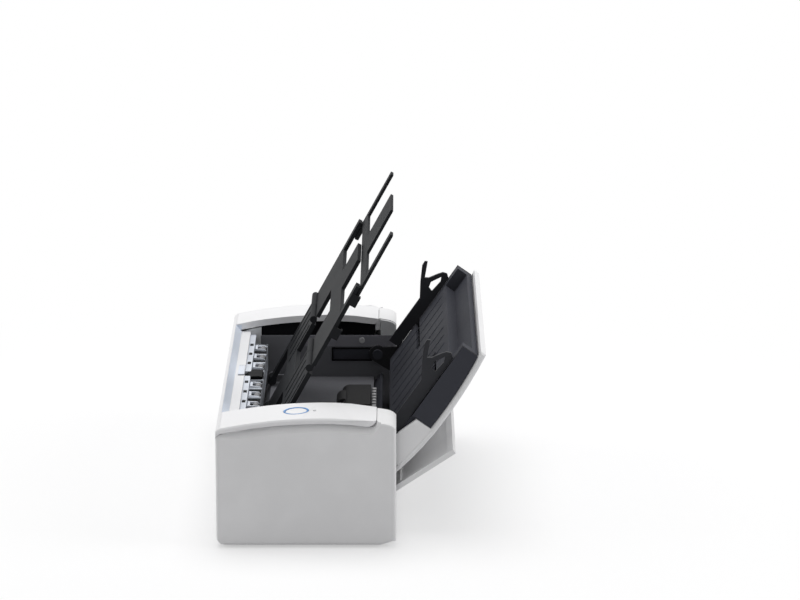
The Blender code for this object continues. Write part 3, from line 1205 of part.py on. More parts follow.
def make_top_cover():
    """Top cover of the front section: a slab over each end joined by a bar along the front."""
    outer = HALF
    inner = INNER
    slabs = []
    for _, side in SIDES:
        rings = [[(side * (CENTRE_HALF - GAP), y, z) for y, z in slab_outline(TOP_COVER_REACH, 0.0)]]
        for step in range(6):
            angle = math.pi / 2 * step / 5
            x = outer - SLAB_CORNER + SLAB_CORNER * math.sin(angle)
            rear = TOP_COVER_REACH - SLAB_CORNER + SLAB_CORNER * math.cos(angle)
            depth = max(0.0, x - (outer - END_ROUNDING / 4))
            rings.append([(side * x, y, z) for y, z in slab_outline(rear, depth)])
        step = block(*sided(side, CENTRE_HALF - OVERRUN, inner), BAR_REAR, BODY_DEPTH,
                     FRONT_EDGE_HEIGHT, CREST_HEIGHT + OVERRUN)
        slabs.append(cut(solid(rings), step))
    frame = join(prism(front_bar(), -CENTRE_HALF, CENTRE_HALF), *slabs)
    hole_radius = BUTTON_RADIUS + SLACK + RING_WIDTH + GAP
    hole = in_frame(BUTTON_FRAME, upright(0.0, 0.0, [(-OVERRUN * 3, hole_radius),
                                                      (OVERRUN, hole_radius)], steps=32))
    piece("front_top_cover", cut(frame, hole), "case_white", "front")


def crown_frame(x, y):
    """Frame on the crown of the top, its third axis square to the surface."""
    lean = math.asin((y - CREST_FROM_FRONT) / CROWN_RADIUS)
    return Matrix.Translation((x, y, crown_height(y))) @ Matrix.Rotation(-lean, 4, "X")


BUTTON_FRAME = crown_frame(BUTTON_ALONG, BUTTON_FROM_FRONT)
BUTTON_THICKNESS = 0.0020
RING_DEPTH = 0.0062
BUTTON_BOARD_HALF = 0.011
STEM_RADIUS = 0.0022
STEM_LENGTH = RING_DEPTH - GAP - BUTTON_TRAVEL - GAP


def make_button():
    inner = BUTTON_RADIUS + SLACK
    ring = upright(0.0, 0.0, [(-RING_DEPTH, inner + RING_WIDTH), (GAP / 3, inner + RING_WIDTH)], inner, 32)
    piece("button_ring", in_frame(BUTTON_FRAME, ring), "ring_blue", "front")
    edge = BUTTON_THICKNESS / 5
    profile = [(-STEM_LENGTH, STEM_RADIUS), (-BUTTON_THICKNESS, STEM_RADIUS),
               (-BUTTON_THICKNESS, BUTTON_RADIUS), (-edge, BUTTON_RADIUS), (0.0, BUTTON_RADIUS - edge)]
    piece("scan_button", in_frame(BUTTON_FRAME, upright(0.0, 0.0, profile, steps=32)), "case_white",
          "button")
    half = BUTTON_BOARD_HALF
    board = block(-half, half, -half, half, -RING_DEPTH - GAP - BOARD_THICKNESS, -RING_DEPTH - GAP)
    piece("button_board", in_frame(BUTTON_FRAME, board), "board_green", "front")


LUG_ALONG = PAN_EAR_ALONG + EAR_WIDTH + SLACK


def make_front_panel():
    base = PANEL_FOOT
    top = FRONT_EDGE_HEIGHT - TOP_COVER_THICKNESS - GAP
    wall = block(-CENTRE_HALF, CENTRE_HALF, 0.0, WALL, base, top)
    parts = []
    reliefs = []
    for _, side in SIDES:
        low, high = sided(side, LUG_ALONG, LUG_ALONG + EAR_WIDTH)
        parts.append(rod(SECTION_HINGE, low, high, EAR_RADIUS - GAP))
        parts.append(block(low, high, WALL / 2, SECTION_HINGE[0], SECTION_HINGE[1] + GAP * 2,
                           SECTION_HINGE[1] + EAR_RADIUS * 2))
    bore = rod(SECTION_HINGE, -INNER, INNER, SECTION_ROD_RADIUS + GAP)
    foot = block(-INNER, INNER, -OVERRUN, WALL + GAP, 0.0, base)
    reliefs.append(foot)
    piece("front_panel", cut(join(wall, *parts), bore, *reliefs), "case_white", "front")


def make_exit_frame():
    """White ledge under the closed cover's edge, with the upper guide of the exit slot below it."""
    front = WALL + GAP
    skin = HOLDER_SKIN
    outline = [(front, LEDGE_HEIGHT), (front, LEDGE_HEIGHT - skin), (LEDGE_REAR - skin, LEDGE_HEIGHT - skin),
               (LEDGE_REAR - skin, HOLDER_HEIGHT - RIB_HEIGHT - skin),
               (HOLDER_REAR - skin, HOLDER_HEIGHT - RIB_HEIGHT - skin),
               (HOLDER_REAR - skin, HOLDER_DROP), (CHUTE_NECK[0] - skin, CHUTE_NECK[1]),
               (CHUTE_TIP[0] - skin, CHUTE_TIP[1]), CHUTE_TIP, CHUTE_NECK,
               (HOLDER_REAR, HOLDER_DROP), (HOLDER_REAR, HOLDER_HEIGHT - RIB_HEIGHT),
               (LEDGE_REAR, HOLDER_HEIGHT - RIB_HEIGHT), (LEDGE_REAR, LEDGE_HEIGHT)]
    plate = prism(outline, -HOLDER_HALF, HOLDER_HALF)
    ledge = block(-CENTRE_HALF + GAP, CENTRE_HALF - GAP, front, LEDGE_REAR, LEDGE_HEIGHT - skin,
                  LEDGE_HEIGHT)
    web = block(-HOLDER_HALF, HOLDER_HALF, front, CHUTE_TIP[0] - skin / 2, CHUTE_TIP[1], CHUTE_TIP[1] + skin)
    parts = [ledge, web]
    spread = HOLDER_HALF * 2 / (RIB_COUNT + 1)
    for index in range(RIB_COUNT):
        x = -HOLDER_HALF + spread * (index + 0.5 + index / RIB_COUNT)
        parts.append(block(x - RIB_THICKNESS / 2, x + RIB_THICKNESS / 2, LEDGE_REAR - skin / 2,
                           HOLDER_REAR, HOLDER_HEIGHT - skin, HOLDER_HEIGHT))
    low, high = -IDLER_ARM_HALF, IDLER_ARM_HALF
    for x in (low, high):
        parts.append(block(x - skin / 2, x + skin / 2, EXIT_IDLER_CENTRE[0] - skin,
                           EXIT_IDLER_CENTRE[0] + skin, EXIT_IDLER_CENTRE[1], CHUTE_TIP[1] + skin / 2))
    axle = rod(EXIT_IDLER_CENTRE, low, high, IDLER_AXLE_RADIUS)
    finger_hole = block(FINGER_ALONG - FINGER_HALF - SLACK, FINGER_ALONG + FINGER_HALF + SLACK,
                        FINGER_PIVOT[0] - SLACK * 10,
                        HOLDER_REAR + OVERRUN, HOLDER_HEIGHT - OVERRUN, LEDGE_HEIGHT + OVERRUN)
    body_mesh = join(cut(join(plate, *parts), finger_hole), axle)
    piece("exit_frame", body_mesh, "frame_white", "front")
    half = EXIT_IDLER_HALF
    edge = EXIT_IDLER_RADIUS / 8
    profile = [(-half, EXIT_IDLER_RADIUS - edge), (-half + edge, EXIT_IDLER_RADIUS),
               (half - edge, EXIT_IDLER_RADIUS), (half, EXIT_IDLER_RADIUS - edge)]
    piece("exit_idler", turned(EXIT_IDLER_CENTRE, profile, IDLER_AXLE_RADIUS + GAP), "roller_grey",
          "exit_idler")


EXIT_IDLER_HALF = 0.012
IDLER_ARM_HALF = EXIT_IDLER_HALF + 0.002
IDLER_AXLE_RADIUS = 0.0015
FINGER_ALONG = -0.009
FINGER_HALF = 0.0055
FINGER_PIVOT = (0.0105, 0.0685)
FINGER_EYE_RADIUS = 0.0020
FINGER_PIN_RADIUS = 0.0008


def make_finger():
    """Sprung finger that keeps the delivered sheets back against the output guide."""
    y, z = FINGER_PIVOT
    eye = FINGER_EYE_RADIUS
    tip = HOLDER_REAR
    outline = [(y - eye, z), (y, z - eye), (y + eye * 2, z - eye / 2), (tip - eye, z + eye / 3),
               (tip, z + eye * 0.8), (tip - eye / 2, z + eye), (y + eye * 2, z + eye * 0.9), (y, z + eye)]
    finger = prism(outline, FINGER_ALONG - FINGER_HALF, FINGER_ALONG + FINGER_HALF)
    pin = rod(FINGER_PIVOT, FINGER_ALONG - FINGER_HALF * 1.6, FINGER_ALONG + FINGER_HALF * 1.6,
              FINGER_PIN_RADIUS, steps=12)
    piece("hold_down_finger", join(finger, pin), "black", "finger")


def make_materials():
    MATERIALS["case_white"] = plastic("case_white", (0.86, 0.86, 0.87), 0.42)
    MATERIALS["case_grey"] = plastic("case_grey", (0.62, 0.62, 0.64), 0.45)
    MATERIALS["frame_white"] = plastic("frame_white", (0.84, 0.87, 0.93), 0.40)
    MATERIALS["inner_grey"] = plastic("inner_grey", (0.045, 0.046, 0.052), 0.50)
    MATERIALS["inner_dark"] = plastic("inner_dark", (0.030, 0.031, 0.036), 0.50)
    MATERIALS["black"] = plastic("black", (0.018, 0.018, 0.020), 0.38)
    MATERIALS["dark"] = plastic("dark", (0.020, 0.020, 0.022), 0.45)
    MATERIALS["rubber"] = plastic("rubber", (0.030, 0.030, 0.030), 0.80)
    MATERIALS["roller_grey"] = plastic("roller_grey", (0.30, 0.30, 0.31), 0.70)
    MATERIALS["gear_white"] = plastic("gear_white", (0.80, 0.79, 0.75), 0.50)
    MATERIALS["steel"] = plastic("steel", (0.62, 0.62, 0.63), 0.28, 1.0)
    MATERIALS["zinc"] = plastic("zinc", (0.55, 0.56, 0.58), 0.40, 1.0)
    MATERIALS["brass"] = plastic("brass", (0.75, 0.58, 0.30), 0.35, 1.0)
    MATERIALS["board_green"] = plastic("board_green", (0.03, 0.17, 0.08), 0.45)
    MATERIALS["glass"] = plastic("glass", (0.10, 0.11, 0.12), 0.05)
    MATERIALS["ring_blue"] = plastic("ring_blue", (0.10, 0.30, 0.72), 0.30, glow=0.2)


def make_bodies():
    body("root", (0.0, 0.0, 0.0))
    for name, centre in (("feed", FEED_CENTRE), ("transfer", TRANSFER_CENTRE), ("pick", PICK_CENTRE),
                         ("idler", IDLER_CENTRE), ("exit", EXIT_CENTRE), ("motor", MOTOR_CENTRE),
                         ("brake", BRAKE_CENTRE), ("cover", HINGE), ("flap", FLAP_HINGE),
                         ("guide_base", GUIDE_HINGE), ("front", SECTION_HINGE)):
        body(name, (0.0, centre[0], centre[1]), "root")
    pinion = COVER_FRAME @ Vector((0.0, RACK_STATION, -RACK_LIFT))
    body("pinion", pinion, "cover")
    for name, side in SIDES:
        body(name + "_guide", COVER_FRAME @ Vector((side * GUIDE_WALL_OUTER, RACK_STATION, 0.0)), "cover")
    knuckle = at(GUIDE_FRAME, GUIDE_BASE_LENGTH, KNUCKLE_LIFT)
    body("guide_leaf", (0.0, knuckle[0], knuckle[1]), "guide_base")
    body("guide_tongue", (0.0, knuckle[0], knuckle[1]), "guide_leaf")
    body("exit_idler", (0.0, EXIT_IDLER_CENTRE[0], EXIT_IDLER_CENTRE[1]), "front")
    body("button", BUTTON_FRAME.translation, "front")
    body("finger", (0.0, FINGER_PIVOT[0], FINGER_PIVOT[1]), "front")


def main():
    clear_scene()
    make_materials()
    make_bodies()
    make_base()
    make_end_caps()
    make_inner_panels()
    make_rear_wall()
    make_board()
    make_paper_guides()
    make_sensors()
    make_pick_cover()
    make_side_frames()
    make_drive()
    make_pins()
    make_cover_shell()
    make_cover_tray()
    make_side_guides()
    make_rear_flap()
    make_output_guide()
    make_top_cover()
    make_button()
    make_front_panel()
    make_exit_frame()
    make_finger()


main()
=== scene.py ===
# %% [markdown]
# # A desktop document scanner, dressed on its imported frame
# The machine is a low white box with a raised slab at each end. Its feed cover is open and leans back
# as a tray, and a black output guide stands up in front of it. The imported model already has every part
# at its real size, so this script only makes what a moulder, a painter and an assembler would add:
# rounded edges, plastic grain, rubber treads, small fittings and light.

import json
import math

import bmesh
import bpy
from mathutils import Matrix, Vector


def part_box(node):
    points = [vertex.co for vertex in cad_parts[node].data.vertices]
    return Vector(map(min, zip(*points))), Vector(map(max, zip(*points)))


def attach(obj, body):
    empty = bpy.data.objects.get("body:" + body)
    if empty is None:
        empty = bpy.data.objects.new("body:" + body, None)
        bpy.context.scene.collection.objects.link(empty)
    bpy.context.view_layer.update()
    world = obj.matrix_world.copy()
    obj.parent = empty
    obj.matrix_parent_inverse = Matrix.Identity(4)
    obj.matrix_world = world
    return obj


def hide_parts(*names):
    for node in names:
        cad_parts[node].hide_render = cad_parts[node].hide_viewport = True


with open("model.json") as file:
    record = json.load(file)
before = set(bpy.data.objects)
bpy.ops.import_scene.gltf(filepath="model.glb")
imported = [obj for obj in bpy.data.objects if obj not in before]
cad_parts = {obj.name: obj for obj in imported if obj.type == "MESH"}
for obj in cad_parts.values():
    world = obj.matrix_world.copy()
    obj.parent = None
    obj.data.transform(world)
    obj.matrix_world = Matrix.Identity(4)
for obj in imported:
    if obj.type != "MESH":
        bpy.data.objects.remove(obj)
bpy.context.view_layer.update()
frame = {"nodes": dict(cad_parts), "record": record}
nodes = frame["nodes"]
record = frame["record"]
body_of_node = {node: body for body, names in record["behaviour"]["bodies"].items() for node in names}
slot_of_node = {part["node"]: part["material_slot"] for part in record["subparts"]}
joints = {joint["name"]: joint for joint in record["behaviour"]["joints"]}

# %% [markdown]
# ## Millimetres, and three leaning frames
# Small fittings are easiest to place in millimetres from the front wall, so `spot` turns such a place
# into metres. Much of the machine leans. Instead of typing slanted coordinates, each leaning part gets
# a frame of its own: X stays along the machine, the second axis runs up the plate and the third stands
# off it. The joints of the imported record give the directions, so the frames always agree with the CAD.

# %% Read the frames from the joints
MM = 0.001
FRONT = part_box("front_panel")[0].y
MACHINE = Matrix.Translation((0.0, FRONT, 0.0))
SIDES = ((1, "right"), (-1, "left"))
HINGE_ABOVE_TRAY = 9
BUTTON_TILT_RISE = 0.5


def spot(x, y, z):
    """A place in millimetres: x along the machine, y from its front wall, z above the table."""
    return Vector((x * MM, FRONT + y * MM, z * MM))


def leaning(origin, lift):
    """A frame whose third axis is lift and whose first is X."""
    lift = Vector(lift).normalized()
    along = lift.cross(Vector((1.0, 0.0, 0.0)))
    columns = Matrix(((1, 0, 0), along, lift)).transposed().to_4x4()
    columns.translation = Vector(origin)
    return columns


cover_hinge = Vector(joints["cover_hinge"]["pos_m"])
tray_lift = Vector(joints["guide_pinion_spin"]["axis"])
tray_plane = leaning(cover_hinge - tray_lift * HINGE_ABOVE_TRAY * MM, tray_lift)
guide_along = Vector(joints["output_tongue_slide"]["axis"])
guide_plane = leaning(joints["output_guide_hinge"]["pos_m"], Vector((1.0, 0.0, 0.0)).cross(guide_along))
button_low, button_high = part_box("scan_button")
button_top = (button_low + button_high) / 2
button_top.z = button_high.z - BUTTON_TILT_RISE * MM
button = leaning(button_top, -Vector(joints["scan_button_press"]["axis"]))
print("tray leans", round(math.degrees(math.asin(tray_plane.col[1].z)), 1), "degrees")

# %% [markdown]
# ## The camera
# The view is from the button end, a little above the machine, through a long lens: the far end is
# almost as tall as the near one. The lens, the place and the two angles come from fitting the corners
# of the body.

# %% Place the camera
CAMERA_PLACE = (2422, 115.4, 734)
CAMERA_PITCH = 75.885
CAMERA_YAW = 89.975
LENS = 169.2
FILM_WIDTH = 36.0
SEES_AS_FAR_AS = 20.0

camera_data = bpy.data.cameras.new("view")
camera_data.lens = LENS
camera_data.sensor_width = FILM_WIDTH
camera_data.clip_end = SEES_AS_FAR_AS
camera = bpy.data.objects.new("view", camera_data)
bpy.context.collection.objects.link(camera)
camera.location = spot(*CAMERA_PLACE)
camera.rotation_euler = (math.radians(CAMERA_PITCH), 0.0, math.radians(CAMERA_YAW))
bpy.context.scene.camera = camera
print("camera", [round(value, 3) for value in camera.location])

# %% [markdown]
# ## Shader maths as Python
# A finish is easier to read as a sum than as a web of nodes. `Field` wraps one number that changes
# over the surface and turns Python's operators into Math nodes. `Finish` owns the material, and its
# method `node` makes any other node from its type, its settings and the values of its sockets.

# %% A small language for finishes
class Field:
    """A number that changes over a surface."""

    def __init__(self, finish, socket):
        self.finish = finish
        self.socket = socket

    def maths(self, operation, first, second=None):
        node = self.finish.node("ShaderNodeMath", {"operation": operation})
        for place, value in enumerate((first, second)):
            if value is not None:
                self.finish.join(value, node.inputs[place])
        return Field(self.finish, node.outputs[0])

    def __add__(self, other):
        return self.maths("ADD", self, other)

    def __sub__(self, other):
        return self.maths("SUBTRACT", self, other)

    def __mul__(self, other):
        return self.maths("MULTIPLY", self, other)

    def __lt__(self, other):
        return self.maths("LESS_THAN", self, other)

    def __gt__(self, other):
        return self.maths("GREATER_THAN", self, other)

    def size(self):
        return self.maths("ABSOLUTE", self)

    def root(self):
        return self.maths("SQRT", self)

    def cycle(self, length):
        return self.maths("FLOORED_MODULO", self, length)

    def ramp(self, low, high):
        """Rises smoothly from 0 at low to 1 at high."""
        node = self.finish.node("ShaderNodeMapRange", {"interpolation_type": "SMOOTHSTEP"},
                                {"Value": self, "From Min": low, "From Max": high})
        return Field(self.finish, node.outputs["Result"])


class Finish:
    """One material: a Principled shader and the nodes that feed it."""

    def __init__(self, name, colour, roughness, metallic=0.0, coat=0.0, mirror=0.5):
        self.material = bpy.data.materials.new(name)
        self.material.use_nodes = True
        self.tree = self.material.node_tree
        self.shader = self.tree.nodes["Principled BSDF"]
        self.shader.inputs["Base Color"].default_value = (*colour, 1.0)
        self.shader.inputs["Roughness"].default_value = roughness
        self.shader.inputs["Metallic"].default_value = metallic
        self.shader.inputs["Coat Weight"].default_value = coat
        self.shader.inputs["Specular IOR Level"].default_value = mirror
        self.material.diffuse_color = (*colour, 1.0)
        self.coordinates = self.node("ShaderNodeTexCoord").outputs["Object"]

    def node(self, kind, settings=None, sockets=None):
        made = self.tree.nodes.new(kind)
        for key, value in (settings or {}).items():
            setattr(made, key, value)
        for key, value in (sockets or {}).items():
            self.join(value, made.inputs[key])
        return made

    def join(self, value, socket):
        if isinstance(value, Field):
            value = value.socket
        if isinstance(value, bpy.types.NodeSocket):
            self.tree.links.new(value, socket)
        elif isinstance(value, tuple) and len(value) == 3 and socket.type == "RGBA":
            socket.default_value = (*value, 1.0)
        else:
            socket.default_value = value

    def axis(self, letter):
        return Field(self, self.node("ShaderNodeSeparateXYZ", None, {0: self.coordinates}).outputs[letter])

    def stretched(self, scale):
        """Object coordinates scaled along each axis, for a grain that runs one way."""
        node = self.node("ShaderNodeMapping", None, {"Vector": self.coordinates, "Scale": scale})
        return node.outputs["Vector"]

    def noise(self, scale, detail=2.0, vector=None):
        node = self.node("ShaderNodeTexNoise", None, {"Vector": vector or self.coordinates,
                                                      "Scale": scale, "Detail": detail})
        return Field(self, node.outputs["Fac"])

    def cells(self, scale):
        """One random number for each cell of a Voronoi pattern."""
        node = self.node("ShaderNodeTexVoronoi", None, {"Vector": self.coordinates, "Scale": scale})
        return Field(self, node.outputs["Color"])

    def tint(self, mask, first, second):
        node = self.node("ShaderNodeMix", {"data_type": "RGBA"})
        self.join(mask, node.inputs["Factor"])
        self.join(first, node.inputs[6])
        self.join(second, node.inputs[7])
        return node.outputs[2]

    def paint(self, colour):
        self.join(colour, self.shader.inputs["Base Color"])

    def rough(self, value):
        self.join(value, self.shader.inputs["Roughness"])

    def relief(self, height, distance):
        """A bump whose full height is given in millimetres."""
        node = self.node("ShaderNodeBump", None, {"Height": height, "Distance": distance * MM,
                                                  "Strength": 1.0})
        self.join(node.outputs["Normal"], self.shader.inputs["Normal"])


def shade(colour, share):
    return tuple(channel * share for channel in colour)


print("finish language ready")

# %% [markdown]
# ## Floor, backdrop and lamps
# The machine stands on a plain pale floor that fades into a white surround. Only the camera, mirrors
# and glass see the surround at full white, so no edge shows behind the machine while the light that it
# gives stays soft. One broad lamp hangs overhead, and a weaker pair fills in from the front and rear.

# %% Floor and surround
FLOOR_RADIUS = 1.3
FLOOR_SEEN = (0.985, 0.985, 0.99)
FLOOR_BOUNCE = (0.60, 0.60, 0.61)
FADE_FROM = 0.15
FADE_TO = 0.50
WHITE_AT_MACHINE = 0.45
SOFT_LIGHT = 0.50
WHITE = (1.0, 1.0, 1.0)

floor_mesh = bpy.data.meshes.new("floor")
floor_work = bmesh.new()
bmesh.ops.create_circle(floor_work, cap_ends=True, segments=96, radius=FLOOR_RADIUS)
floor_work.to_mesh(floor_mesh)
floor_work.free()
floor = bpy.data.objects.new("floor", floor_mesh)
bpy.context.collection.objects.link(floor)
floor_finish = Finish("floor_pale", FLOOR_BOUNCE, 0.9, mirror=0.1)
across = floor_finish.axis("X")
deep = floor_finish.axis("Y")
floor_distance = (across * across + deep * deep).root()
floor_fade = floor_distance.ramp(FADE_FROM, FADE_TO) * (1 - WHITE_AT_MACHINE) + WHITE_AT_MACHINE
rays = floor_finish.node("ShaderNodeLightPath")
seen = Field(floor_finish, rays.outputs["Is Camera Ray"]) + Field(floor_finish, rays.outputs["Is Glossy Ray"])
floor_finish.paint(floor_finish.tint(seen, FLOOR_BOUNCE, FLOOR_SEEN))
white = floor_finish.node("ShaderNodeEmission", None, {"Color": WHITE, "Strength": 1.0})
blend = floor_finish.node("ShaderNodeMixShader", None, {"Fac": floor_fade * seen})
floor_finish.tree.links.new(floor_finish.shader.outputs[0], blend.inputs[1])
floor_finish.tree.links.new(white.outputs[0], blend.inputs[2])
floor_finish.tree.links.new(blend.outputs[0], floor_finish.tree.nodes["Material Output"].inputs["Surface"])
floor_mesh.materials.append(floor_finish.material)

world = bpy.data.worlds.new("surround")
bpy.context.scene.world = world
world.use_nodes = True
sky_nodes, sky_links = world.node_tree.nodes, world.node_tree.links
sky_rays = sky_nodes.new("ShaderNodeLightPath")
full_white = sky_rays.outputs["Is Camera Ray"]
for kind in ("Is Glossy Ray", "Is Transmission Ray"):
    either = sky_nodes.new("ShaderNodeMath")
    either.operation = "MAXIMUM"
    sky_links.new(full_white, either.inputs[0])
    sky_links.new(sky_rays.outputs[kind], either.inputs[1])
    full_white = either.outputs[0]
strength = sky_nodes.new("ShaderNodeMapRange")
strength.inputs["To Min"].default_value = SOFT_LIGHT
strength.inputs["To Max"].default_value = 1.0
sky_links.new(full_white, strength.inputs["Value"])
sky_links.new(strength.outputs["Result"], sky_nodes["Background"].inputs["Strength"])
sky_nodes["Background"].inputs["Color"].default_value = (*WHITE, 1.0)
print("floor", FLOOR_RADIUS, "m, soft light", SOFT_LIGHT)

# %% Lamps
LAMP_AIM = Vector((0.0, 0.0, 60 * MM))
LAMPS = (("overhead", (-0.40, -0.05, 1.7), 1.2, 13.5), ("front_fill", (-0.30, -1.5, 1.0), 1.0, 4.0),
         ("rear_fill", (0.25, 1.5, 0.9), 1.0, 6.0))
for name, place, size, watts in LAMPS:
    data = bpy.data.lights.new(name, "AREA")
    data.shape = "DISK"
    data.size = size
    data.energy = watts
    light = bpy.data.objects.new(name, data)
    bpy.context.collection.objects.link(light)
    light.location = place
    light.rotation_euler = (LAMP_AIM - Vector(place)).to_track_quat("-Z", "Y").to_euler()
print(len(LAMPS), "lamps")

# %% [markdown]
# ## Moulded plastic
# Injection-moulded casings are never mirror smooth: the mould is spark-etched, which leaves a grain of
# about a third of a millimetre. The grain is a bump, and a slow noise lets the colour drift by a few
# percent and the gloss wander with it. One recipe makes the white, grey and dark plastics.

# %% Plastics
GRAIN_SCALE = 2600.0
DRIFT_SCALE = 38.0
DRIFT_GLOSS = 0.10
GRAIN_GLOSS = 0.08
FINE, EVEN, COARSE = 0.01, 0.02, 0.03
SHELL = (0.83, 0.83, 0.835)
TRAY = (0.052, 0.054, 0.065)


def moulded(name, colour, roughness, depth=EVEN, drift=0.03, mirror=0.5):
    finish = Finish(name, colour, roughness, mirror=mirror)
    slow = finish.noise(DRIFT_SCALE, 3.0)
    grain = finish.noise(GRAIN_SCALE, 1.0)
    finish.paint(finish.tint(slow.ramp(0.3, 0.7), shade(colour, 1.0 - drift), shade(colour, 1.0 + drift / 2)))
    finish.rough(slow * DRIFT_GLOSS + grain * GRAIN_GLOSS + (roughness - (DRIFT_GLOSS + GRAIN_GLOSS) / 2))
    finish.relief(grain, depth)
    return finish


shell_white = moulded("shell_white", SHELL, 0.48, mirror=0.3)
shell_warm = moulded("shell_warm", (0.78, 0.78, 0.78), 0.52, mirror=0.3)
ledge_white = moulded("ledge_white", (0.74, 0.78, 0.85), 0.40, mirror=0.3)
holder_white = moulded("holder_white", (0.80, 0.84, 0.92), 0.38, mirror=0.4)
inner_dark = moulded("inner_dark", (0.150, 0.152, 0.165), 0.60, COARSE, 0.06, 0.04)
tray_dark = moulded("tray_dark", TRAY, 0.58, COARSE, 0.08, 0.05)
guide_black = moulded("guide_black", (0.018, 0.019, 0.021), 0.55, FINE, 0.12, 0.04)
deep_black = moulded("deep_black", (0.007, 0.007, 0.008), 0.50, FINE, 0.15, 0.04)
hood_black = moulded("hood_black", (0.026, 0.026, 0.027), 0.45, FINE, 0.10, 0.02)
strip_grey = moulded("strip_grey", (0.50, 0.50, 0.51), 0.45, FINE, 0.05, 0.2)
side_guide_grey = moulded("side_guide_grey", (0.036, 0.037, 0.042), 0.45, FINE, 0.08, 0.10)
gear_ivory = moulded("gear_ivory", (0.74, 0.72, 0.65), 0.42, 0.008)
print("plastics:", shell_white.material.name, "and eleven more")

# %% [markdown]
# ## The inner end walls, in three tones
# Between the white end section and the dark inside stands one thin wall. Its upper edge is light grey,
# the part below the throat has a dark lining, and a slightly lighter band at the top of the lining
# towards the rear is painted light. One material with masks of height and depth paints all three.

# %% Wall with a dark lining
LINED_BELOW = 71.2
LINED_BEHIND = 19.5
LIT_BAND_ABOVE = 63.4
LIT_BAND_BEHIND = 48.0

wall_two = moulded("wall_two_tone", (0.60, 0.61, 0.62), 0.50, mirror=0.2)
height = wall_two.axis("Z")
reach = wall_two.axis("Y") - FRONT
lined = (height < LINED_BELOW * MM) * (reach > LINED_BEHIND * MM)
slow_wall = wall_two.noise(30.0, 2.0)
pale = wall_two.tint(slow_wall, (0.58, 0.59, 0.60), (0.64, 0.65, 0.66))
# painted light: the upper rear band of the dark lining is lighter, where more light reaches it
painted_light_band = (height > LIT_BAND_ABOVE * MM) * (reach > LIT_BAND_BEHIND * MM)
lining = wall_two.tint(painted_light_band, (0.145, 0.147, 0.160), (0.215, 0.213, 0.240))
wall_two.paint(wall_two.tint(lined, pale, lining))
print("wall turns dark below", LINED_BELOW, "mm")

# %% [markdown]
# ## Three more mouldings, with a tint, painted shade and a painted shadow
# The bar along the front is white, but the scoop behind its lip is tinted a pale blue. The feed cover
# is white outside, while the inner faces of its two hinge ears carry painted shade as dark as what lies
# between them, and the tray's raised border has a black top that is a painted shadow line beside the
# side guides. Position masks on the piece's own coordinates paint them, so the colours travel with the moving
# parts.

# %% Tinted scoop, painted shade on the ears and a painted shadow on the border
SCOOP_HALF_LENGTH = 112.45
SCOOP_FROM = 2.3
SCOOP_TO = 6.4
SCOOP_TOP = 78.9
EAR_SHADE_REACH = 15.5
EAR_INNER_FACE = 110.6
BORDER_FROM = 107.9
BORDER_TO = 110.2

front_two = moulded("front_two_tone", SHELL, 0.46, mirror=0.3)
run_back = front_two.axis("Y") - FRONT
within = front_two.axis("X").size() < SCOOP_HALF_LENGTH * MM
low_enough = front_two.axis("Z") < SCOOP_TOP * MM
scoop = within * (run_back > SCOOP_FROM * MM) * (run_back < SCOOP_TO * MM) * low_enough
front_two.paint(front_two.tint(scoop, (0.84, 0.84, 0.85), (0.76, 0.82, 0.92)))

cover_shaded = moulded("cover_shell_shaded_ears", SHELL, 0.48, mirror=0.3)
beside = cover_shaded.axis("Y") - cover_hinge.y
above = cover_shaded.axis("Z") - cover_hinge.z
ear_shade_zone = (beside * beside + above * above).root() < EAR_SHADE_REACH * MM
inner_side = cover_shaded.axis("X").size() < EAR_INNER_FACE * MM
# painted shade: the inner faces of the hinge ears are darkened near the hinge
cover_shaded.paint(cover_shaded.tint(ear_shade_zone * inner_side, SHELL, (0.012, 0.012, 0.014)))

tray_shadowed = moulded("tray_painted_shadow_line", TRAY, 0.58, COARSE, 0.08, 0.05)
from_middle = tray_shadowed.axis("X").size()
# painted shadow: a black stripe on the border's top marks the shadow line beside the side guide's flange
border_shadow_line = (from_middle > BORDER_FROM * MM) * (from_middle < BORDER_TO * MM)
tray_shadowed.paint(tray_shadowed.tint(border_shadow_line, TRAY, (0.006, 0.006, 0.007)))
print("ears are dark within", EAR_SHADE_REACH, "mm of the hinge")

# %% [markdown]
# ## Rubber, steel and the other hidden finishes
# Feed rollers are ground rubber, matt and slightly dusty. Shafts are drawn steel, so their scratches
# run along X. The inner frames are zinc-plated and show faint crystals, which a cell pattern gives. The
# circuit board is lacquer over copper tracks: a grid of lines with some of them left out.

# %% Rubbers and metals
def rubbery(name, colour, roughness):
    finish = Finish(name, colour, roughness)
    dust = finish.noise(420.0, 4.0)
    finish.paint(finish.tint(dust.ramp(0.45, 0.8), colour, tuple(c * 1.4 + 0.01 for c in colour)))
    finish.rough(dust * 0.2 + (roughness - 0.1))
    finish.relief(finish.noise(3200.0, 2.0), COARSE)
    return finish


def drawn_metal(name, colour, roughness, along=(25.0, 2500.0, 2500.0)):
    finish = Finish(name, colour, roughness, metallic=1.0)
    lines = finish.noise(1.0, 2.0, finish.stretched(along))
    finish.rough(lines * 0.22 + (roughness - 0.08))
    finish.paint(finish.tint(lines, shade(colour, 0.9), colour))
    finish.relief(lines, 0.006)
    return finish


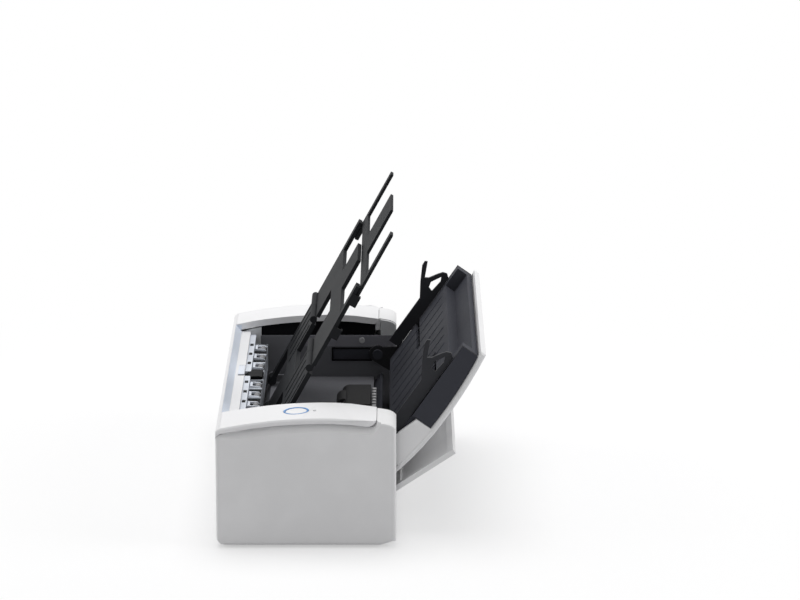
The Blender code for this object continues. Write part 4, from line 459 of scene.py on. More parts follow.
rubber_black = rubbery("rubber_black", (0.026, 0.026, 0.028), 0.78)
rubber_grey = rubbery("rubber_grey", (0.24, 0.24, 0.25), 0.72)
shaft_steel = drawn_metal("shaft_steel", (0.60, 0.60, 0.61), 0.28)
brass_turned = drawn_metal("brass_turned", (0.74, 0.56, 0.28), 0.32, (2500.0, 30.0, 30.0))
zinc_sheet = Finish("zinc_sheet", (0.56, 0.57, 0.59), 0.38, metallic=1.0)
spangle = zinc_sheet.cells(180.0)
zinc_sheet.paint(zinc_sheet.tint(spangle, (0.50, 0.51, 0.53), (0.62, 0.63, 0.65)))
zinc_sheet.rough(spangle * 0.15 + 0.30)
zinc_sheet.relief(zinc_sheet.noise(700.0), FINE)
print("metals ready")

# %% Board, glass and lit plastic
TRACK_WIDTH = 0.25
ROW_PITCH = 1.1
COLUMN_PITCH = 2.3

board_green = Finish("board_green", (0.02, 0.14, 0.06), 0.35, coat=0.3)
row = board_green.axis("Y").cycle(ROW_PITCH * MM) < TRACK_WIDTH * MM
column = board_green.axis("X").cycle(COLUMN_PITCH * MM) < TRACK_WIDTH * MM
kept = board_green.cells(260.0) > 0.45
tracks = (row + column) * kept
board_green.paint(board_green.tint(tracks.ramp(0.0, 1.0), (0.02, 0.13, 0.055), (0.05, 0.25, 0.11)))
board_green.rough(tracks * 0.1 + 0.3)
board_green.relief(tracks, EVEN)

scan_glass = Finish("scan_glass", (0.05, 0.055, 0.06), 0.05)
wiped = scan_glass.noise(60.0, 3.0, scan_glass.stretched((1.0, 8.0, 8.0)))
scan_glass.rough(wiped * 0.08 + 0.03)
scan_glass.paint(scan_glass.tint(wiped, (0.045, 0.05, 0.055), (0.06, 0.065, 0.07)))
scan_glass.shader.inputs["Alpha"].default_value = 0.75

ring_blue = Finish("ring_blue", (0.13, 0.30, 0.62), 0.4, mirror=0.2)
pulse = ring_blue.noise(160.0, 1.0)
ring_blue.paint(ring_blue.tint(pulse, (0.15, 0.32, 0.60), (0.20, 0.38, 0.68)))
ring_blue.shader.inputs["Emission Strength"].default_value = 0.06
glow = ring_blue.tint(pulse, (0.12, 0.32, 0.75), (0.16, 0.38, 0.85))
ring_blue.join(glow, ring_blue.shader.inputs["Emission Color"])
print("board, glass and ring ready")

# %% [markdown]
# ## Rounding the edges of moulded parts
# No moulded edge is razor sharp, and a thin highlight along each edge is what makes plastic look
# solid. The CAD solids come as loose triangles. A copy is welded, its flat areas are merged, and a
# bevel rounds every edge that turns by more than thirty-two degrees. Weighted normals then keep the
# wide faces flat, and the copy stands for the CAD node.

# %% Make and finish pieces
WELD_DISTANCE = 0.004
FLAT_ANGLE = 0.8
BEVEL_ANGLE = 32
SMOOTH_ANGLE = 38


def linked(name, mesh):
    item = bpy.data.objects.new(name, mesh)
    bpy.context.collection.objects.link(item)
    return item


def baked(item):
    """Give the object the mesh that its modifiers make, and take the modifiers away."""
    graph = bpy.context.evaluated_depsgraph_get()
    mesh = bpy.data.meshes.new_from_object(item.evaluated_get(graph))
    item.modifiers.clear()
    item.data = mesh
    return item


def settle(item, body, finish, replaced=(), flat=False):
    """Give a piece its finish, smooth its gentle edges and let it ride with its body."""
    item.data.materials.clear()
    item.data.materials.append(finish.material)
    item.data.shade_smooth()
    item.data.set_sharp_from_angle(angle=math.radians(SMOOTH_ANGLE))
    if flat:
        weighted = item.modifiers.new("flat", "WEIGHTED_NORMAL")
        weighted.keep_sharp = True
        baked(item)
    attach(item, body)
    if replaced:
        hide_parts(*replaced)
    return item


def rounded(name, width, finish, soften=None):
    """A copy of a CAD node with edges rounded by a width in millimetres, which stands for the node."""
    mesh = nodes[name].data.copy()
    work = bmesh.new()
    work.from_mesh(mesh)
    bmesh.ops.remove_doubles(work, verts=work.verts, dist=WELD_DISTANCE * MM)
    bmesh.ops.dissolve_limit(work, angle_limit=math.radians(FLAT_ANGLE), verts=work.verts, edges=work.edges)
    if soften:
        soften(work)
    work.to_mesh(mesh)
    work.free()
    item = linked(name + "_shell", mesh)
    bevel = item.modifiers.new("edge", "BEVEL")
    bevel.width = width * MM
    bevel.segments = 2
    bevel.limit_method = "ANGLE"
    bevel.angle_limit = math.radians(BEVEL_ANGLE)
    bevel.miter_outer = "MITER_ARC"
    baked(item)
    return settle(item, body_of_node[name], finish, [name], flat=True)


print("edges turn round over", BEVEL_ANGLE, "degrees")

# %% [markdown]
# ## Softer shoulders
# The real slabs roll off towards their outer ends, and the end sections carry a broad soft shoulder
# below them. A bevel can't be that wide here, because it would meet the fine edges beside it. So a
# rule moves the points of the upper faces and eases out towards the corners.

# %% Rules for the slabs and the end sections
FACES_UP = 0.15
END_FACE = 148.0
SLAB_SOFT_FROM = 143.0
SLAB_SOFT_DROP = 1.9
SLAB_REAR_END = 101.0
SLAB_REAR_CURVE = 5.0
SLAB_REAR_EASE = 9.0
CAP_SOFT_FROM = 145.5
CAP_SOFT_ABOVE = 60
CAP_SOFT_DROP = 2.3
CAP_SOFT_REACH = 3.8
CAP_DROP_FADE_SHARE = 1.1
CAP_FRONT_END = 2.4
CAP_FRONT_EASE = 11.0
CAP_REAR_END = 104.0
CAP_REAR_EASE = 8.5
CORNER_DEPTH = 8
CORNER_ABOVE = 69
CORNER_RISE = 1.1


def faces_up(vertex):
    return any(face.normal.z > FACES_UP for face in vertex.link_faces)


def from_front(vertex):
    return (vertex.co.y - FRONT) / MM


def eased(distance, length):
    """Grows from 0 to 1 over a length."""
    return min(1.0, max(0.0, distance / length))


def soften_slab_ends(work):
    """Let the raised slabs roll off at their outer ends, as the real cover does."""
    for vertex in work.verts:
        share = min(1.0, (abs(vertex.co.x) / MM - SLAB_SOFT_FROM) / (END_FACE - SLAB_SOFT_FROM))
        if share > 0.01 and faces_up(vertex):
            ease = eased(SLAB_REAR_END - SLAB_REAR_CURVE * share - from_front(vertex), SLAB_REAR_EASE)
            vertex.co.z -= SLAB_SOFT_DROP * MM * ease * (1.0 - math.sqrt(1.0 - share * share))


def soften_cap_shoulder(work):
    """Give the end section the broad soft shoulder that shows below the raised slab."""
    chosen = [vertex for vertex in work.verts if abs(vertex.co.x) > CAP_SOFT_FROM * MM
              and vertex.co.z > CAP_SOFT_ABOVE * MM and faces_up(vertex)]
    for vertex in chosen:
        back = from_front(vertex)
        ease = min(eased(back - CAP_FRONT_END, CAP_FRONT_EASE), eased(CAP_REAR_END - back, CAP_REAR_EASE))
        share = (END_FACE - abs(vertex.co.x) / MM) / (END_FACE - CAP_SOFT_FROM)
        vertex.co.x -= math.copysign(ease * CAP_SOFT_REACH * MM * share, vertex.co.x)
        vertex.co.z -= ease * CAP_SOFT_DROP * MM * max(0.0, 1.0 - share * CAP_DROP_FADE_SHARE)
    for vertex in work.verts:
        if from_front(vertex) < CORNER_DEPTH and vertex.co.z > CORNER_ABOVE * MM:
            vertex.co.z += CORNER_RISE * MM


rounded("front_top_cover", 0.35, front_two, soften_slab_ends)
rounded("right_end_cap", 0.45, shell_white, soften_cap_shoulder)
rounded("left_end_cap", 0.45, shell_white, soften_cap_shoulder)
for name, width, finish in (
        ("front_panel", 0.3, shell_white),
        ("cover_shell", 0.5, cover_shaded), ("rear_flap", 0.5, shell_white),
        ("rear_wall", 0.3, shell_warm), ("base_pan", 0.3, shell_warm),
        ("exit_frame", 0.25, ledge_white), ("pick_cover", 0.5, hood_black),
        ("cover_tray", 0.35, tray_shadowed), ("inner_paper_guide", 0.3, inner_dark),
        ("outer_paper_guide", 0.2, tray_dark), ("right_side_guide", 0.4, side_guide_grey),
        ("left_side_guide", 0.4, side_guide_grey), ("output_guide_base", 0.3, guide_black),
        ("output_guide_leaf", 0.3, guide_black), ("output_guide_tongue", 0.3, guide_black),
        ("hold_down_finger", 0.4, deep_black), ("right_inner_panel", 0.25, wall_two),
        ("left_inner_panel", 0.25, wall_two)):
    piece = rounded(name, width, finish)
print("last rounded piece", piece.name, len(piece.data.polygons), "faces")

# %% [markdown]
# ## Finishes for the parts that keep their CAD shape
# Shafts, gears and frames are already right as solids. They only need the right material in the
# material slot of the node.

# %% Dress the remaining nodes
plain_finishes = {
    "steel": shaft_steel, "zinc": zinc_sheet, "brass": brass_turned, "rubber": rubber_black,
    "roller_grey": rubber_grey, "gear_white": gear_ivory, "board_green": board_green,
    "dark": deep_black, "glass": scan_glass, "ring_blue": ring_blue, "case_white": shell_white,
    "case_grey": shell_warm, "frame_white": ledge_white, "inner_grey": inner_dark,
    "inner_dark": inner_dark, "black": guide_black}
special_finishes = {"left_cover_pin": tray_dark, "right_cover_pin": tray_dark}
for name, node in nodes.items():
    for slot in node.material_slots:
        slot.material = special_finishes.get(name, plain_finishes[slot_of_node[name]]).material
print("dressed", len(nodes), "nodes")

# %% [markdown]
# ## A bench for small solids
# Small fittings are built from a few bevelled blocks, turned profiles and extruded outlines that are
# collected in one mesh. `Bench` keeps that short: it works in millimetres, each call adds one solid,
# and `make` hands over the finished piece.

# %% The bench
class Bench:
    """Collects the solids of one piece, given in millimetres."""

    def __init__(self):
        self.work = bmesh.new()

    def block(self, along, back, up, edge):
        """A block with rounded edges between a low and a high value on each axis of the machine."""
        low, high = (spot(*corner) for corner in zip(along, back, up))
        shape = Matrix.Translation((low + high) / 2) @ Matrix.Diagonal((*(high - low), 1.0))
        made = bmesh.ops.create_cube(self.work, size=1.0, matrix=shape)
        edges = {line for vertex in made["verts"] for line in vertex.link_edges}
        if edge:
            bmesh.ops.bevel(self.work, geom=list(edges), offset=edge * MM, segments=2, profile=0.5,
                            affect="EDGES")
        return self

    def turned(self, profile, start, axis, steps, closed=False):
        """Turn a profile of (distance along axis, radius); a radius of 0 closes an end in a point.

        The start is a place in metres. A closed profile makes a ring with a hole in its middle.
        """
        axis = Vector(axis).normalized()
        side = axis.cross((0.0, 0.0, 1.0) if abs(axis.x) > 0.9 else (1.0, 0.0, 0.0)).normalized()
        other = axis.cross(side)
        rings = []
        for distance, radius in profile:
            centre = Vector(start) + axis * distance * MM
            turns = [math.tau * step / steps for step in range(steps)] if radius > 0 else [0.0]
            rings.append([self.work.verts.new(
                centre + (side * math.cos(turn) + other * math.sin(turn)) * radius * MM) for turn in turns])
        following = rings[1:] + (rings[:1] if closed else [])
        for first, second in zip(rings, following):
            for step in range(steps):
                after = (step + 1) % steps
                corners = [first[step % len(first)], first[after % len(first)],
                           second[after % len(second)], second[step % len(second)]]
                self.work.faces.new(list(dict.fromkeys(corners)))
        for ring in () if closed else (rings[0], rings[-1]):
            if len(ring) > 1:
                self.work.faces.new(ring)
        return self

    def prism(self, outline, low, high, where=MACHINE):
        """Extrude an outline of (second, third) coordinates along a frame's first axis."""
        loops = [[self.work.verts.new(where @ (Vector((x, a, b)) * MM)) for a, b in outline]
                 for x in (low, high)]
        for step in range(len(outline)):
            after = (step + 1) % len(outline)
            self.work.faces.new((loops[0][step], loops[0][after], loops[1][after], loops[1][step]))
        for loop in loops:
            self.work.faces.new(loop)
        return self

    def mesh(self, name):
        bmesh.ops.recalc_face_normals(self.work, faces=self.work.faces)
        made = bpy.data.meshes.new(name)
        self.work.to_mesh(made)
        return made

    def make(self, name, body, finish, slot, replaced=()):
        return settle(linked(name, self.mesh(name)), body, finish, replaced)


print("bench ready")

# %% [markdown]
# ## Repeating things with Geometry Nodes
# Treads, ribs, holders and pins repeat by a rule. One tree lays copies a step apart and turns each a
# little further round an axis: without a turn they make a row, and without a step a ring. The copies
# are made real, and the result becomes a plain mesh so that it can ride on a body.

# %% One tree for rows and rings
def open_tree(name, inputs):
    """A new tree with named inputs; returns the tree, its input node and the input identifiers."""
    tree = bpy.data.node_groups.new(name, "GeometryNodeTree")
    tree.interface.new_socket("Geometry", in_out="OUTPUT", socket_type="NodeSocketGeometry")
    keys = {}
    for title, kind in inputs:
        socket = tree.interface.new_socket(title, in_out="INPUT", socket_type="NodeSocket" + kind)
        keys[title] = socket.identifier
    return tree, tree.nodes.new("NodeGroupInput"), keys


def close_tree(tree, source, geometry):
    """Make the copies real and give them their finish."""
    real = tree.nodes.new("GeometryNodeRealizeInstances")
    coated = tree.nodes.new("GeometryNodeSetMaterial")
    out = tree.nodes.new("NodeGroupOutput")
    tree.links.new(geometry, real.inputs[0])
    tree.links.new(real.outputs[0], coated.inputs["Geometry"])
    tree.links.new(source.outputs["Finish"], coated.inputs["Material"])
    tree.links.new(coated.outputs[0], out.inputs[0])


repeats, source, repeat_keys = open_tree("repeats", [
    ("Count", "Int"), ("Start", "Vector"), ("Step", "Vector"), ("Axis", "Vector"), ("Turn", "Vector"),
    ("Piece", "Object"), ("Finish", "Material")])
line = repeats.nodes.new("GeometryNodeMeshLine")
line.mode = "OFFSET"
model = repeats.nodes.new("GeometryNodeObjectInfo")
copies = repeats.nodes.new("GeometryNodeInstanceOnPoints")
index = repeats.nodes.new("GeometryNodeInputIndex")
angle = repeats.nodes.new("ShaderNodeVectorMath")
angle.operation = "SCALE"
spin = repeats.nodes.new("GeometryNodeRotateInstances")
spin.inputs["Local Space"].default_value = False
for output, given in (
        (source.outputs["Count"], line.inputs["Count"]),
        (source.outputs["Start"], line.inputs["Start Location"]),
        (source.outputs["Step"], line.inputs["Offset"]), (line.outputs["Mesh"], copies.inputs["Points"]),
        (source.outputs["Piece"], model.inputs["Object"]),
        (model.outputs["Geometry"], copies.inputs["Instance"]),
        (source.outputs["Turn"], angle.inputs[0]), (index.outputs[0], angle.inputs["Scale"]),
        (copies.outputs["Instances"], spin.inputs["Instances"]), (angle.outputs[0], spin.inputs["Rotation"]),
        (source.outputs["Axis"], spin.inputs["Pivot Point"])):
    repeats.links.new(output, given)
close_tree(repeats, source, spin.outputs["Instances"])


def repeat(name, bench, count, rule, body, finish):
    """Run the tree with the inputs that make the rule and keep the result as a plain piece."""
    item = linked(name, bpy.data.meshes.new(name))
    modifier = item.modifiers.new("repeat", "NODES")
    modifier.node_group = repeats
    pattern = linked(name + "_model", bench.mesh(name))
    for title, value in {**rule, "Count": count, "Piece": pattern, "Finish": finish.material}.items():
        modifier[repeat_keys[title]] = value
    baked(item)
    bpy.data.objects.remove(pattern)
    return settle(item, body, finish)


def in_row(name, bench, count, start, step, body, finish):
    """Copies along X, the first moved by start and the others a step apart, in millimetres."""
    rule = {"Start": (start * MM, 0.0, 0.0), "Step": (step * MM, 0.0, 0.0)}
    return repeat(name, bench, count, rule, body, finish)


print("tree:", repeats.name, "with", len(repeats.nodes), "nodes")

# %% [markdown]
# ## Treads on the rollers
# Feed rollers grip with fine ribs that run along the roller. Each rib is a low bar with sloping sides
# that is rooted in the roller's surface, and the tree turns copies of it round the shaft.

# %% Roller treads
TREAD_HEIGHT = 0.10
TREAD_ROOT = 0.5
TREAD_SHARE = 0.45
TREAD_END_GAP = 0.6


def tread(node, count, finish):
    low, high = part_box(node)
    centre = (low + high) / 2
    axis_line = (0.0, centre.y, centre.z)
    radius = (high.z - low.z) / 2 / MM
    width = math.tau * radius / count * TREAD_SHARE
    top, foot = radius + TREAD_HEIGHT, radius - TREAD_ROOT
    outline = [(-width / 2, foot), (width / 2, foot), (width / 3, top), (-width / 3, top)]
    bar = Bench().prism(outline, low.x / MM + TREAD_END_GAP, high.x / MM - TREAD_END_GAP,
                        Matrix.Translation(axis_line))
    rule = {"Axis": axis_line, "Turn": (math.tau / count, 0.0, 0.0)}
    return repeat(node + "_tread", bar, count, rule, body_of_node[node], finish)


tread("pick_roller", 36, rubber_grey)
tread("brake_roller", 28, rubber_black)
tread("feed_roller", 34, rubber_black)
last = tread("exit_roller", 34, rubber_black)
print("treads stand", TREAD_HEIGHT, "mm proud;", len(last.data.polygons), "faces on the last")

# %% [markdown]
# ## The round scan button
# The button is a shallow dish inside a thin lit ring. A turned profile gives the dish and its soft
# lip. The dish replaces the flat CAD cap and its stem, and the ring keeps its CAD shape. A small
# plain lens beside it shows the state of the machine.

# %% Dished button and status lamp
BUTTON_RADIUS = 6.8
BUTTON_THICKNESS = 2.0
STEM_RADIUS = 2.2
STEM_LENGTH = 5.0
LIP_DROP = 0.02
DISH_RADIUS = BUTTON_RADIUS - 0.5
DISH_DEPTH = 0.35
DISH_STEPS = 7
LAMP_BEHIND_BUTTON = 11.7
LAMP_SUNK = 0.12
LAMP_RADIUS = 1.0

face_out = button.col[2].to_3d()
dish = [(-STEM_LENGTH, STEM_RADIUS), (-BUTTON_THICKNESS, STEM_RADIUS), (-BUTTON_THICKNESS, BUTTON_RADIUS),
        (-0.45, BUTTON_RADIUS), (-0.15, BUTTON_RADIUS - 0.12), (-LIP_DROP, BUTTON_RADIUS - 0.45)]
for step in range(DISH_STEPS - 1, -1, -1):
    share = step / DISH_STEPS
    dish.append((-LIP_DROP - DISH_DEPTH * (1 - share ** 2), DISH_RADIUS * share))
cap = Bench().turned(dish, button_top, face_out, 64)
cap.make("scan_button_cap", body_of_node["scan_button"], shell_white, slot_of_node["scan_button"],
         ["scan_button"])

lamp_place = button @ (Vector((0.0, LAMP_BEHIND_BUTTON, -LAMP_SUNK)) * MM)
lens = Bench().turned([(-1.2, LAMP_RADIUS), (0.0, LAMP_RADIUS), (0.22, LAMP_RADIUS * 0.7), (0.28, 0.0)],
                      lamp_place, face_out, 24)
lens.make("status_lamp", "front_section", wall_two, "case_grey")
print("button radius", BUTTON_RADIUS, "mm")

# %% [markdown]
# ## The front frame
# Behind the bar along the front lies a pale frame with two rows of white roller holders. A holder is a
# pair of cheeks with a bridge and an axle, and a small grey pinch wheel sits between them. A thin black
# plate under them is painted shade, and a dark slot lies before each. The tree repeats all but the plate.

# %% Holders and pinch wheels
HOLDER_PITCH = 24
HOLDER_ROWS = (("left", 3, -84), ("right", 4, 12))
HOLDER_FRONT = 16.9
HOLDER_TOP = 70.6
CHEEK_MIDDLE = 5.0
CHEEK_HALF = 0.6
CHEEK_OUTLINE = [(HOLDER_FRONT, 66.0), (24.6, 66.0), (24.8, 68.6), (23.4, 70.2), (HOLDER_FRONT, HOLDER_TOP)]
BRIDGE_HALF = 5.4
AXLE_PROFILE = [(-5.8, 0.7), (5.8, 0.7)]
AXLE_BACK, AXLE_UP = 22.3, 68.4
WHEEL_PROFILE = [(-3.2, 1.6), (-2.9, 1.95), (2.9, 1.95), (3.2, 1.6)]
WHEEL_LIFT = 0.2


def in_holder_rows(title, bench, finish):
    for label, count, start in HOLDER_ROWS:
        in_row(label + title, bench, count, start, HOLDER_PITCH, "front_section", finish)


holder = Bench()
for side in (-1, 1):
    holder.prism(CHEEK_OUTLINE, side * CHEEK_MIDDLE - CHEEK_HALF, side * CHEEK_MIDDLE + CHEEK_HALF)
holder.block((-BRIDGE_HALF, BRIDGE_HALF), (HOLDER_FRONT, 18.6), (69.4, HOLDER_TOP), 0.2)
holder.turned(AXLE_PROFILE, spot(0, AXLE_BACK, AXLE_UP), (1, 0, 0), 12)
in_holder_rows("_pinch_holders", holder, holder_white)
wheel = Bench().turned(WHEEL_PROFILE, spot(0, AXLE_BACK, AXLE_UP + WHEEL_LIFT), (1, 0, 0), 20)
in_holder_rows("_pinch_wheels", wheel, rubber_grey)
# painted shade: a thin black plate under the holders
gap = Bench().block((-97, 97), (16.6, 24.9), (68.7, 68.95), 0.1)
gap.make("holder_shadow_gap", "front_section", deep_black, "dark")
dark_slot = Bench().block((-3.0, 3.0), (13.3, 15.7), (71.6, 72.06), 0.1)
in_holder_rows("_frame_slots", dark_slot, deep_black)
print("holders:", sum(count for label, count, start in HOLDER_ROWS))

# %% [markdown]
# ## The tab and the finger's paddle
# Between the two rows of holders sits a white tab with a slit at each side, and behind it lies the
# broad paddle of the black hold-down finger. The paddle rides with the finger, and the rest is fixed.

# %% White tab, slits and paddle
TAB_HALF = 11.2
SLIT_MIDDLE, SLIT_HALF = 12.2, 0.7
TAB_REAR = 12.5
PADDLE_HALF = 8.5
PADDLE_OUTLINE = [(12.4, 69.0), (14.2, 71.2), (17.0, 72.2), (22.0, 72.5), (24.3, 72.0), (24.7, 70.9),
                  (23.0, 69.6), (14.0, 67.6)]

finger_middle = (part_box("hold_down_finger")[0].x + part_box("hold_down_finger")[1].x) / 2 / MM
slits = Bench()
for side in (-1, 1):
    slit = finger_middle + side * SLIT_MIDDLE
    slits.block((slit - SLIT_HALF, slit + SLIT_HALF), (8.4, TAB_REAR), (74.0, 74.35), 0.05)
slits.make("tab_slits", "front_section", deep_black, "dark")
tab = Bench()
tab.block((finger_middle - TAB_HALF, finger_middle + TAB_HALF), (8.2, TAB_REAR), (73.9, 74.75), 0.25)
tab.make("finger_tab", "front_section", holder_white, "frame_white")
paddle = Bench().prism(PADDLE_OUTLINE, finger_middle - PADDLE_HALF, finger_middle + PADDLE_HALF)
paddle.make("finger_paddle", "finger_body", deep_black, "black")
print("tab is", 2 * TAB_HALF, "mm wide")

# %% [markdown]
# ## Inside the throat
# Each inner wall has a dark recess with a raised rim and a small light stud above it. A black plate
# behind the opening under the raised end is painted shade for the inside of the end section. These thin
# pieces make the wall read as several parts and not as one flat plate.

# %% Wall fittings
RECESS_BACK = (69, 97)
RECESS_UP = (53, 62.6)
RIM_WIDTH = 1.1
RIM_STANDS_OUT = 0.8
FLOOR_STANDS_OUT = 0.3
FLOOR_INSET = 0.5
ROOTED = 0.2
STUD_BACK, STUD_UP = 90, 67.7
STUD_PROFILE = [(-0.3, 2.1), (0.5, 2.1), (0.7, 1.7), (0.7, 1.0), (0.4, 0.0)]
SHADE_PLATE_ALONG = (115.35, 116.1)
SHADE_PLATE_FRONT, SHADE_PLATE_REAR, SHADE_PLATE_BOTTOM = 14.0, 98.8, 64.6
SHADE_PLATE_CREST_BACK, SHADE_PLATE_CREST_UP = 69, 81
SHADE_PLATE_FRONT_ARC, SHADE_PLATE_REAR_ARC = 320, 176
SHADE_PLATE_NEXT_TO_FRONT = 16.2
SHADE_PLATE_STEPS, SHADE_PLATE_FIRST_STEP, SHADE_PLATE_STEP = 7, 23.6, 10.3


def shade_plate_top(back):
    """Height of the shade plate's upper edge, in two arcs under the crown, to a tenth of a millimetre."""
    radius = SHADE_PLATE_FRONT_ARC if back < SHADE_PLATE_CREST_BACK else SHADE_PLATE_REAR_ARC
    return round(SHADE_PLATE_CREST_UP - radius + math.sqrt(radius ** 2 - (back - SHADE_PLATE_CREST_BACK) ** 2), 1)


def inner_face(side, name):
    low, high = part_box(name + "_inner_panel")
    return (low.x if side > 0 else high.x) / MM


def inset(span, by):
    return span[0] + by, span[1] - by


def standing_out(side, face, height):
    """A span along X from just inside the wall to a height above its inner face."""
    return sorted((face - side * height, face + side * ROOTED))


(y_low, y_high), (z_low, z_high) = RECESS_BACK, RECESS_UP
for side, name in SIDES:
    face = inner_face(side, name)
    rim = Bench()
    for back, up in ((RECESS_BACK, (z_low, z_low + RIM_WIDTH)), (RECESS_BACK, (z_high - RIM_WIDTH, z_high)),
                     ((y_low, y_low + RIM_WIDTH), RECESS_UP), ((y_high - RIM_WIDTH, y_high), RECESS_UP)):
        rim.block(standing_out(side, face, RIM_STANDS_OUT), back, up, 0.2)
    rim.make(name + "_wall_recess_rim", "case", deep_black, "dark")
    stud = Bench().turned(STUD_PROFILE, spot(face, STUD_BACK, STUD_UP), (-side, 0, 0), 24)
    stud.make(name + "_wall_stud", "case", strip_grey, "roller_grey")
stations = [SHADE_PLATE_FIRST_STEP + step * SHADE_PLATE_STEP for step in range(SHADE_PLATE_STEPS)]
stations = [SHADE_PLATE_FRONT, SHADE_PLATE_NEXT_TO_FRONT, *stations, SHADE_PLATE_REAR]
outline = [(SHADE_PLATE_FRONT, SHADE_PLATE_BOTTOM), (SHADE_PLATE_REAR, SHADE_PLATE_BOTTOM)]
outline += [(back, shade_plate_top(back)) for back in reversed(stations)]
for side, name in SIDES:
    # painted shade: a black plate behind each opening under the raised end stands for the shade inside the
    # end section
    shade_plate = Bench().prism(outline, *sorted(side * x for x in SHADE_PLATE_ALONG))
    shade_plate.make(name + "_opening_liner", "case", deep_black, "dark")
    pocket = Bench()
    pocket.block(standing_out(side, inner_face(side, name), FLOOR_STANDS_OUT),
                 inset(RECESS_BACK, FLOOR_INSET), inset(RECESS_UP, FLOOR_INSET), 0.1)
    pocket.make(name + "_recess_floor", "case", tray_dark, "dark")
print("fitted both inner walls")

# %% [markdown]
# ## The ribbed strip behind the pick hood
# Behind the black hood shows the light edge of a ribbed feed strip. It lies close round the hinge line of
# the cover, where nothing that turns with the cover can reach it, and the tree repeats its ribs.

# %% Strip behind the hood
STRIP_RIBS = 7
STRIP_PITCH = 7
STRIP_FIRST = -22.0

strip = Bench().block((-25, 22), (97.4, 98.5), (50.2, 57.2), 0.2)
strip.make("hood_strip", "case", deep_black, "dark")
strip_rib = Bench().block((-1.6, 1.6), (97.8, 100.6), (50.4, 58.2), 0.3)
in_row("hood_strip_ribs", strip_rib, STRIP_RIBS, STRIP_FIRST, STRIP_PITCH, "case", strip_grey)
print("strip laid behind the hood with", STRIP_RIBS, "ribs")

# %% [markdown]
# ## Low ribs on the sliding surfaces
# The tray and the output guide carry low ribs, so that what slides over them touches narrow lines
# only. The ribs follow the lean of their plate, so they are drawn in the plate's own frame and then
# repeated along X.

# %% Ribs on the tray and the output guide
RIB_WIDTH = 0.9
RIB_END_SLOPE = 2.0
RIB_ROOT = 0.2
TRAY_RIBS, TRAY_RIB_FIRST, TRAY_RIB_PITCH = 9, -84, 21
GUIDE_RIBS, GUIDE_RIB_PITCH = 4, 18
GUIDE_RIB_FIRST = {"left": -90, "right": 36}


def rib_on(plane, start, end, base, height):
    outline = [(start, base - RIB_ROOT), (end, base - RIB_ROOT), (end - RIB_END_SLOPE, base + height),
               (start + RIB_END_SLOPE, base + height)]
    return Bench().prism(outline, -RIB_WIDTH / 2, RIB_WIDTH / 2, plane)


in_row("tray_ribs", rib_on(tray_plane, 4, 66, 0.0, 0.25), TRAY_RIBS, TRAY_RIB_FIRST, TRAY_RIB_PITCH,
       "feed_cover", tray_dark)
guide_rib = rib_on(guide_plane, 29, 61, 1.5, 0.35)
for label, first in GUIDE_RIB_FIRST.items():
    in_row(label + "_guide_ribs", guide_rib, GUIDE_RIBS, first, GUIDE_RIB_PITCH, "output_guide_body",
           guide_black)
print("ribs laid")

# %% [markdown]
# ## Screws
# The case is held by small screws. A head is a turned dome with a dip in its middle where the driver
# sits, and rows of them are set under the base and on the outer faces of the inner side frames.

# %% Screw heads
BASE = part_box("base_pan")[0].z / MM
BASE_HEAD = [(-0.4, 2.2), (0.15, 2.2), (0.5, 1.7), (0.55, 1.1), (0.2, 0.6), (0.15, 0.0)]
FRAME_HEAD = [(-0.4, 1.9), (0.1, 2.0), (0.6, 1.5), (0.62, 1.0), (0.3, 0.5), (0.28, 0.0)]
BASE_SCREWS = [(x, y) for x in (-132, -60, 60, 132) for y in (12, 92)]
FRAME_SCREWS = ((18, 8), (88, 9), (98, 40), (30, 58))
FRAME_THICKNESS = 1.5

under = Bench()
for x, y in BASE_SCREWS:
    under.turned(BASE_HEAD, spot(x, y, BASE), (0, 0, -1), 20)
under.make("base_screws", "case", shaft_steel, "steel")
for side, name in SIDES:
    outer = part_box(name + "_side_frame")[1].x / MM
    heads = Bench()
    for y, z in FRAME_SCREWS:
        heads.turned(FRAME_HEAD, spot(outer if side > 0 else outer - FRAME_THICKNESS, y, z), (side, 0, 0), 18)
    heads.make(name + "_frame_screws", "case", shaft_steel, "steel")
print(len(BASE_SCREWS) + len(SIDES) * len(FRAME_SCREWS), "screws set")

# %% [markdown]
# ## The button's spring
# The button returns on a small spring. A spring is a wire along a helix: the Spiral curve of Geometry
# Nodes gives the path and a circle swept along it gives the wire.

# %% Spring
SPRING_SIZES = {"Turns": 4.0, "Radius": 3.0 * MM, "Length": 2.4 * MM, "Wire": 0.2 * MM}
SPRING_FOOT = 5.6

spring_tree, source, spring_keys = open_tree("spring", [
    ("Turns", "Float"), ("Radius", "Float"), ("Length", "Float"), ("Wire", "Float"), ("Place", "Vector"),
    ("Lean", "Vector"), ("Finish", "Material")])
helix = spring_tree.nodes.new("GeometryNodeCurveSpiral")
helix.inputs["Resolution"].default_value = 20
wire = spring_tree.nodes.new("GeometryNodeCurvePrimitiveCircle")
wire.inputs["Resolution"].default_value = 8
sweep = spring_tree.nodes.new("GeometryNodeCurveToMesh")
sweep.inputs["Fill Caps"].default_value = True
stand = spring_tree.nodes.new("GeometryNodeTransform")
for title, socket in (("Turns", helix.inputs["Rotations"]), ("Radius", helix.inputs["Start Radius"]),
                      ("Radius", helix.inputs["End Radius"]), ("Length", helix.inputs["Height"]),
                      ("Wire", wire.inputs["Radius"]), ("Place", stand.inputs["Translation"]),
                      ("Lean", stand.inputs["Rotation"])):
    spring_tree.links.new(source.outputs[title], socket)
spring_tree.links.new(helix.outputs[0], sweep.inputs["Curve"])
spring_tree.links.new(wire.outputs[0], sweep.inputs["Profile Curve"])
spring_tree.links.new(sweep.outputs[0], stand.inputs["Geometry"])
close_tree(spring_tree, source, stand.outputs[0])

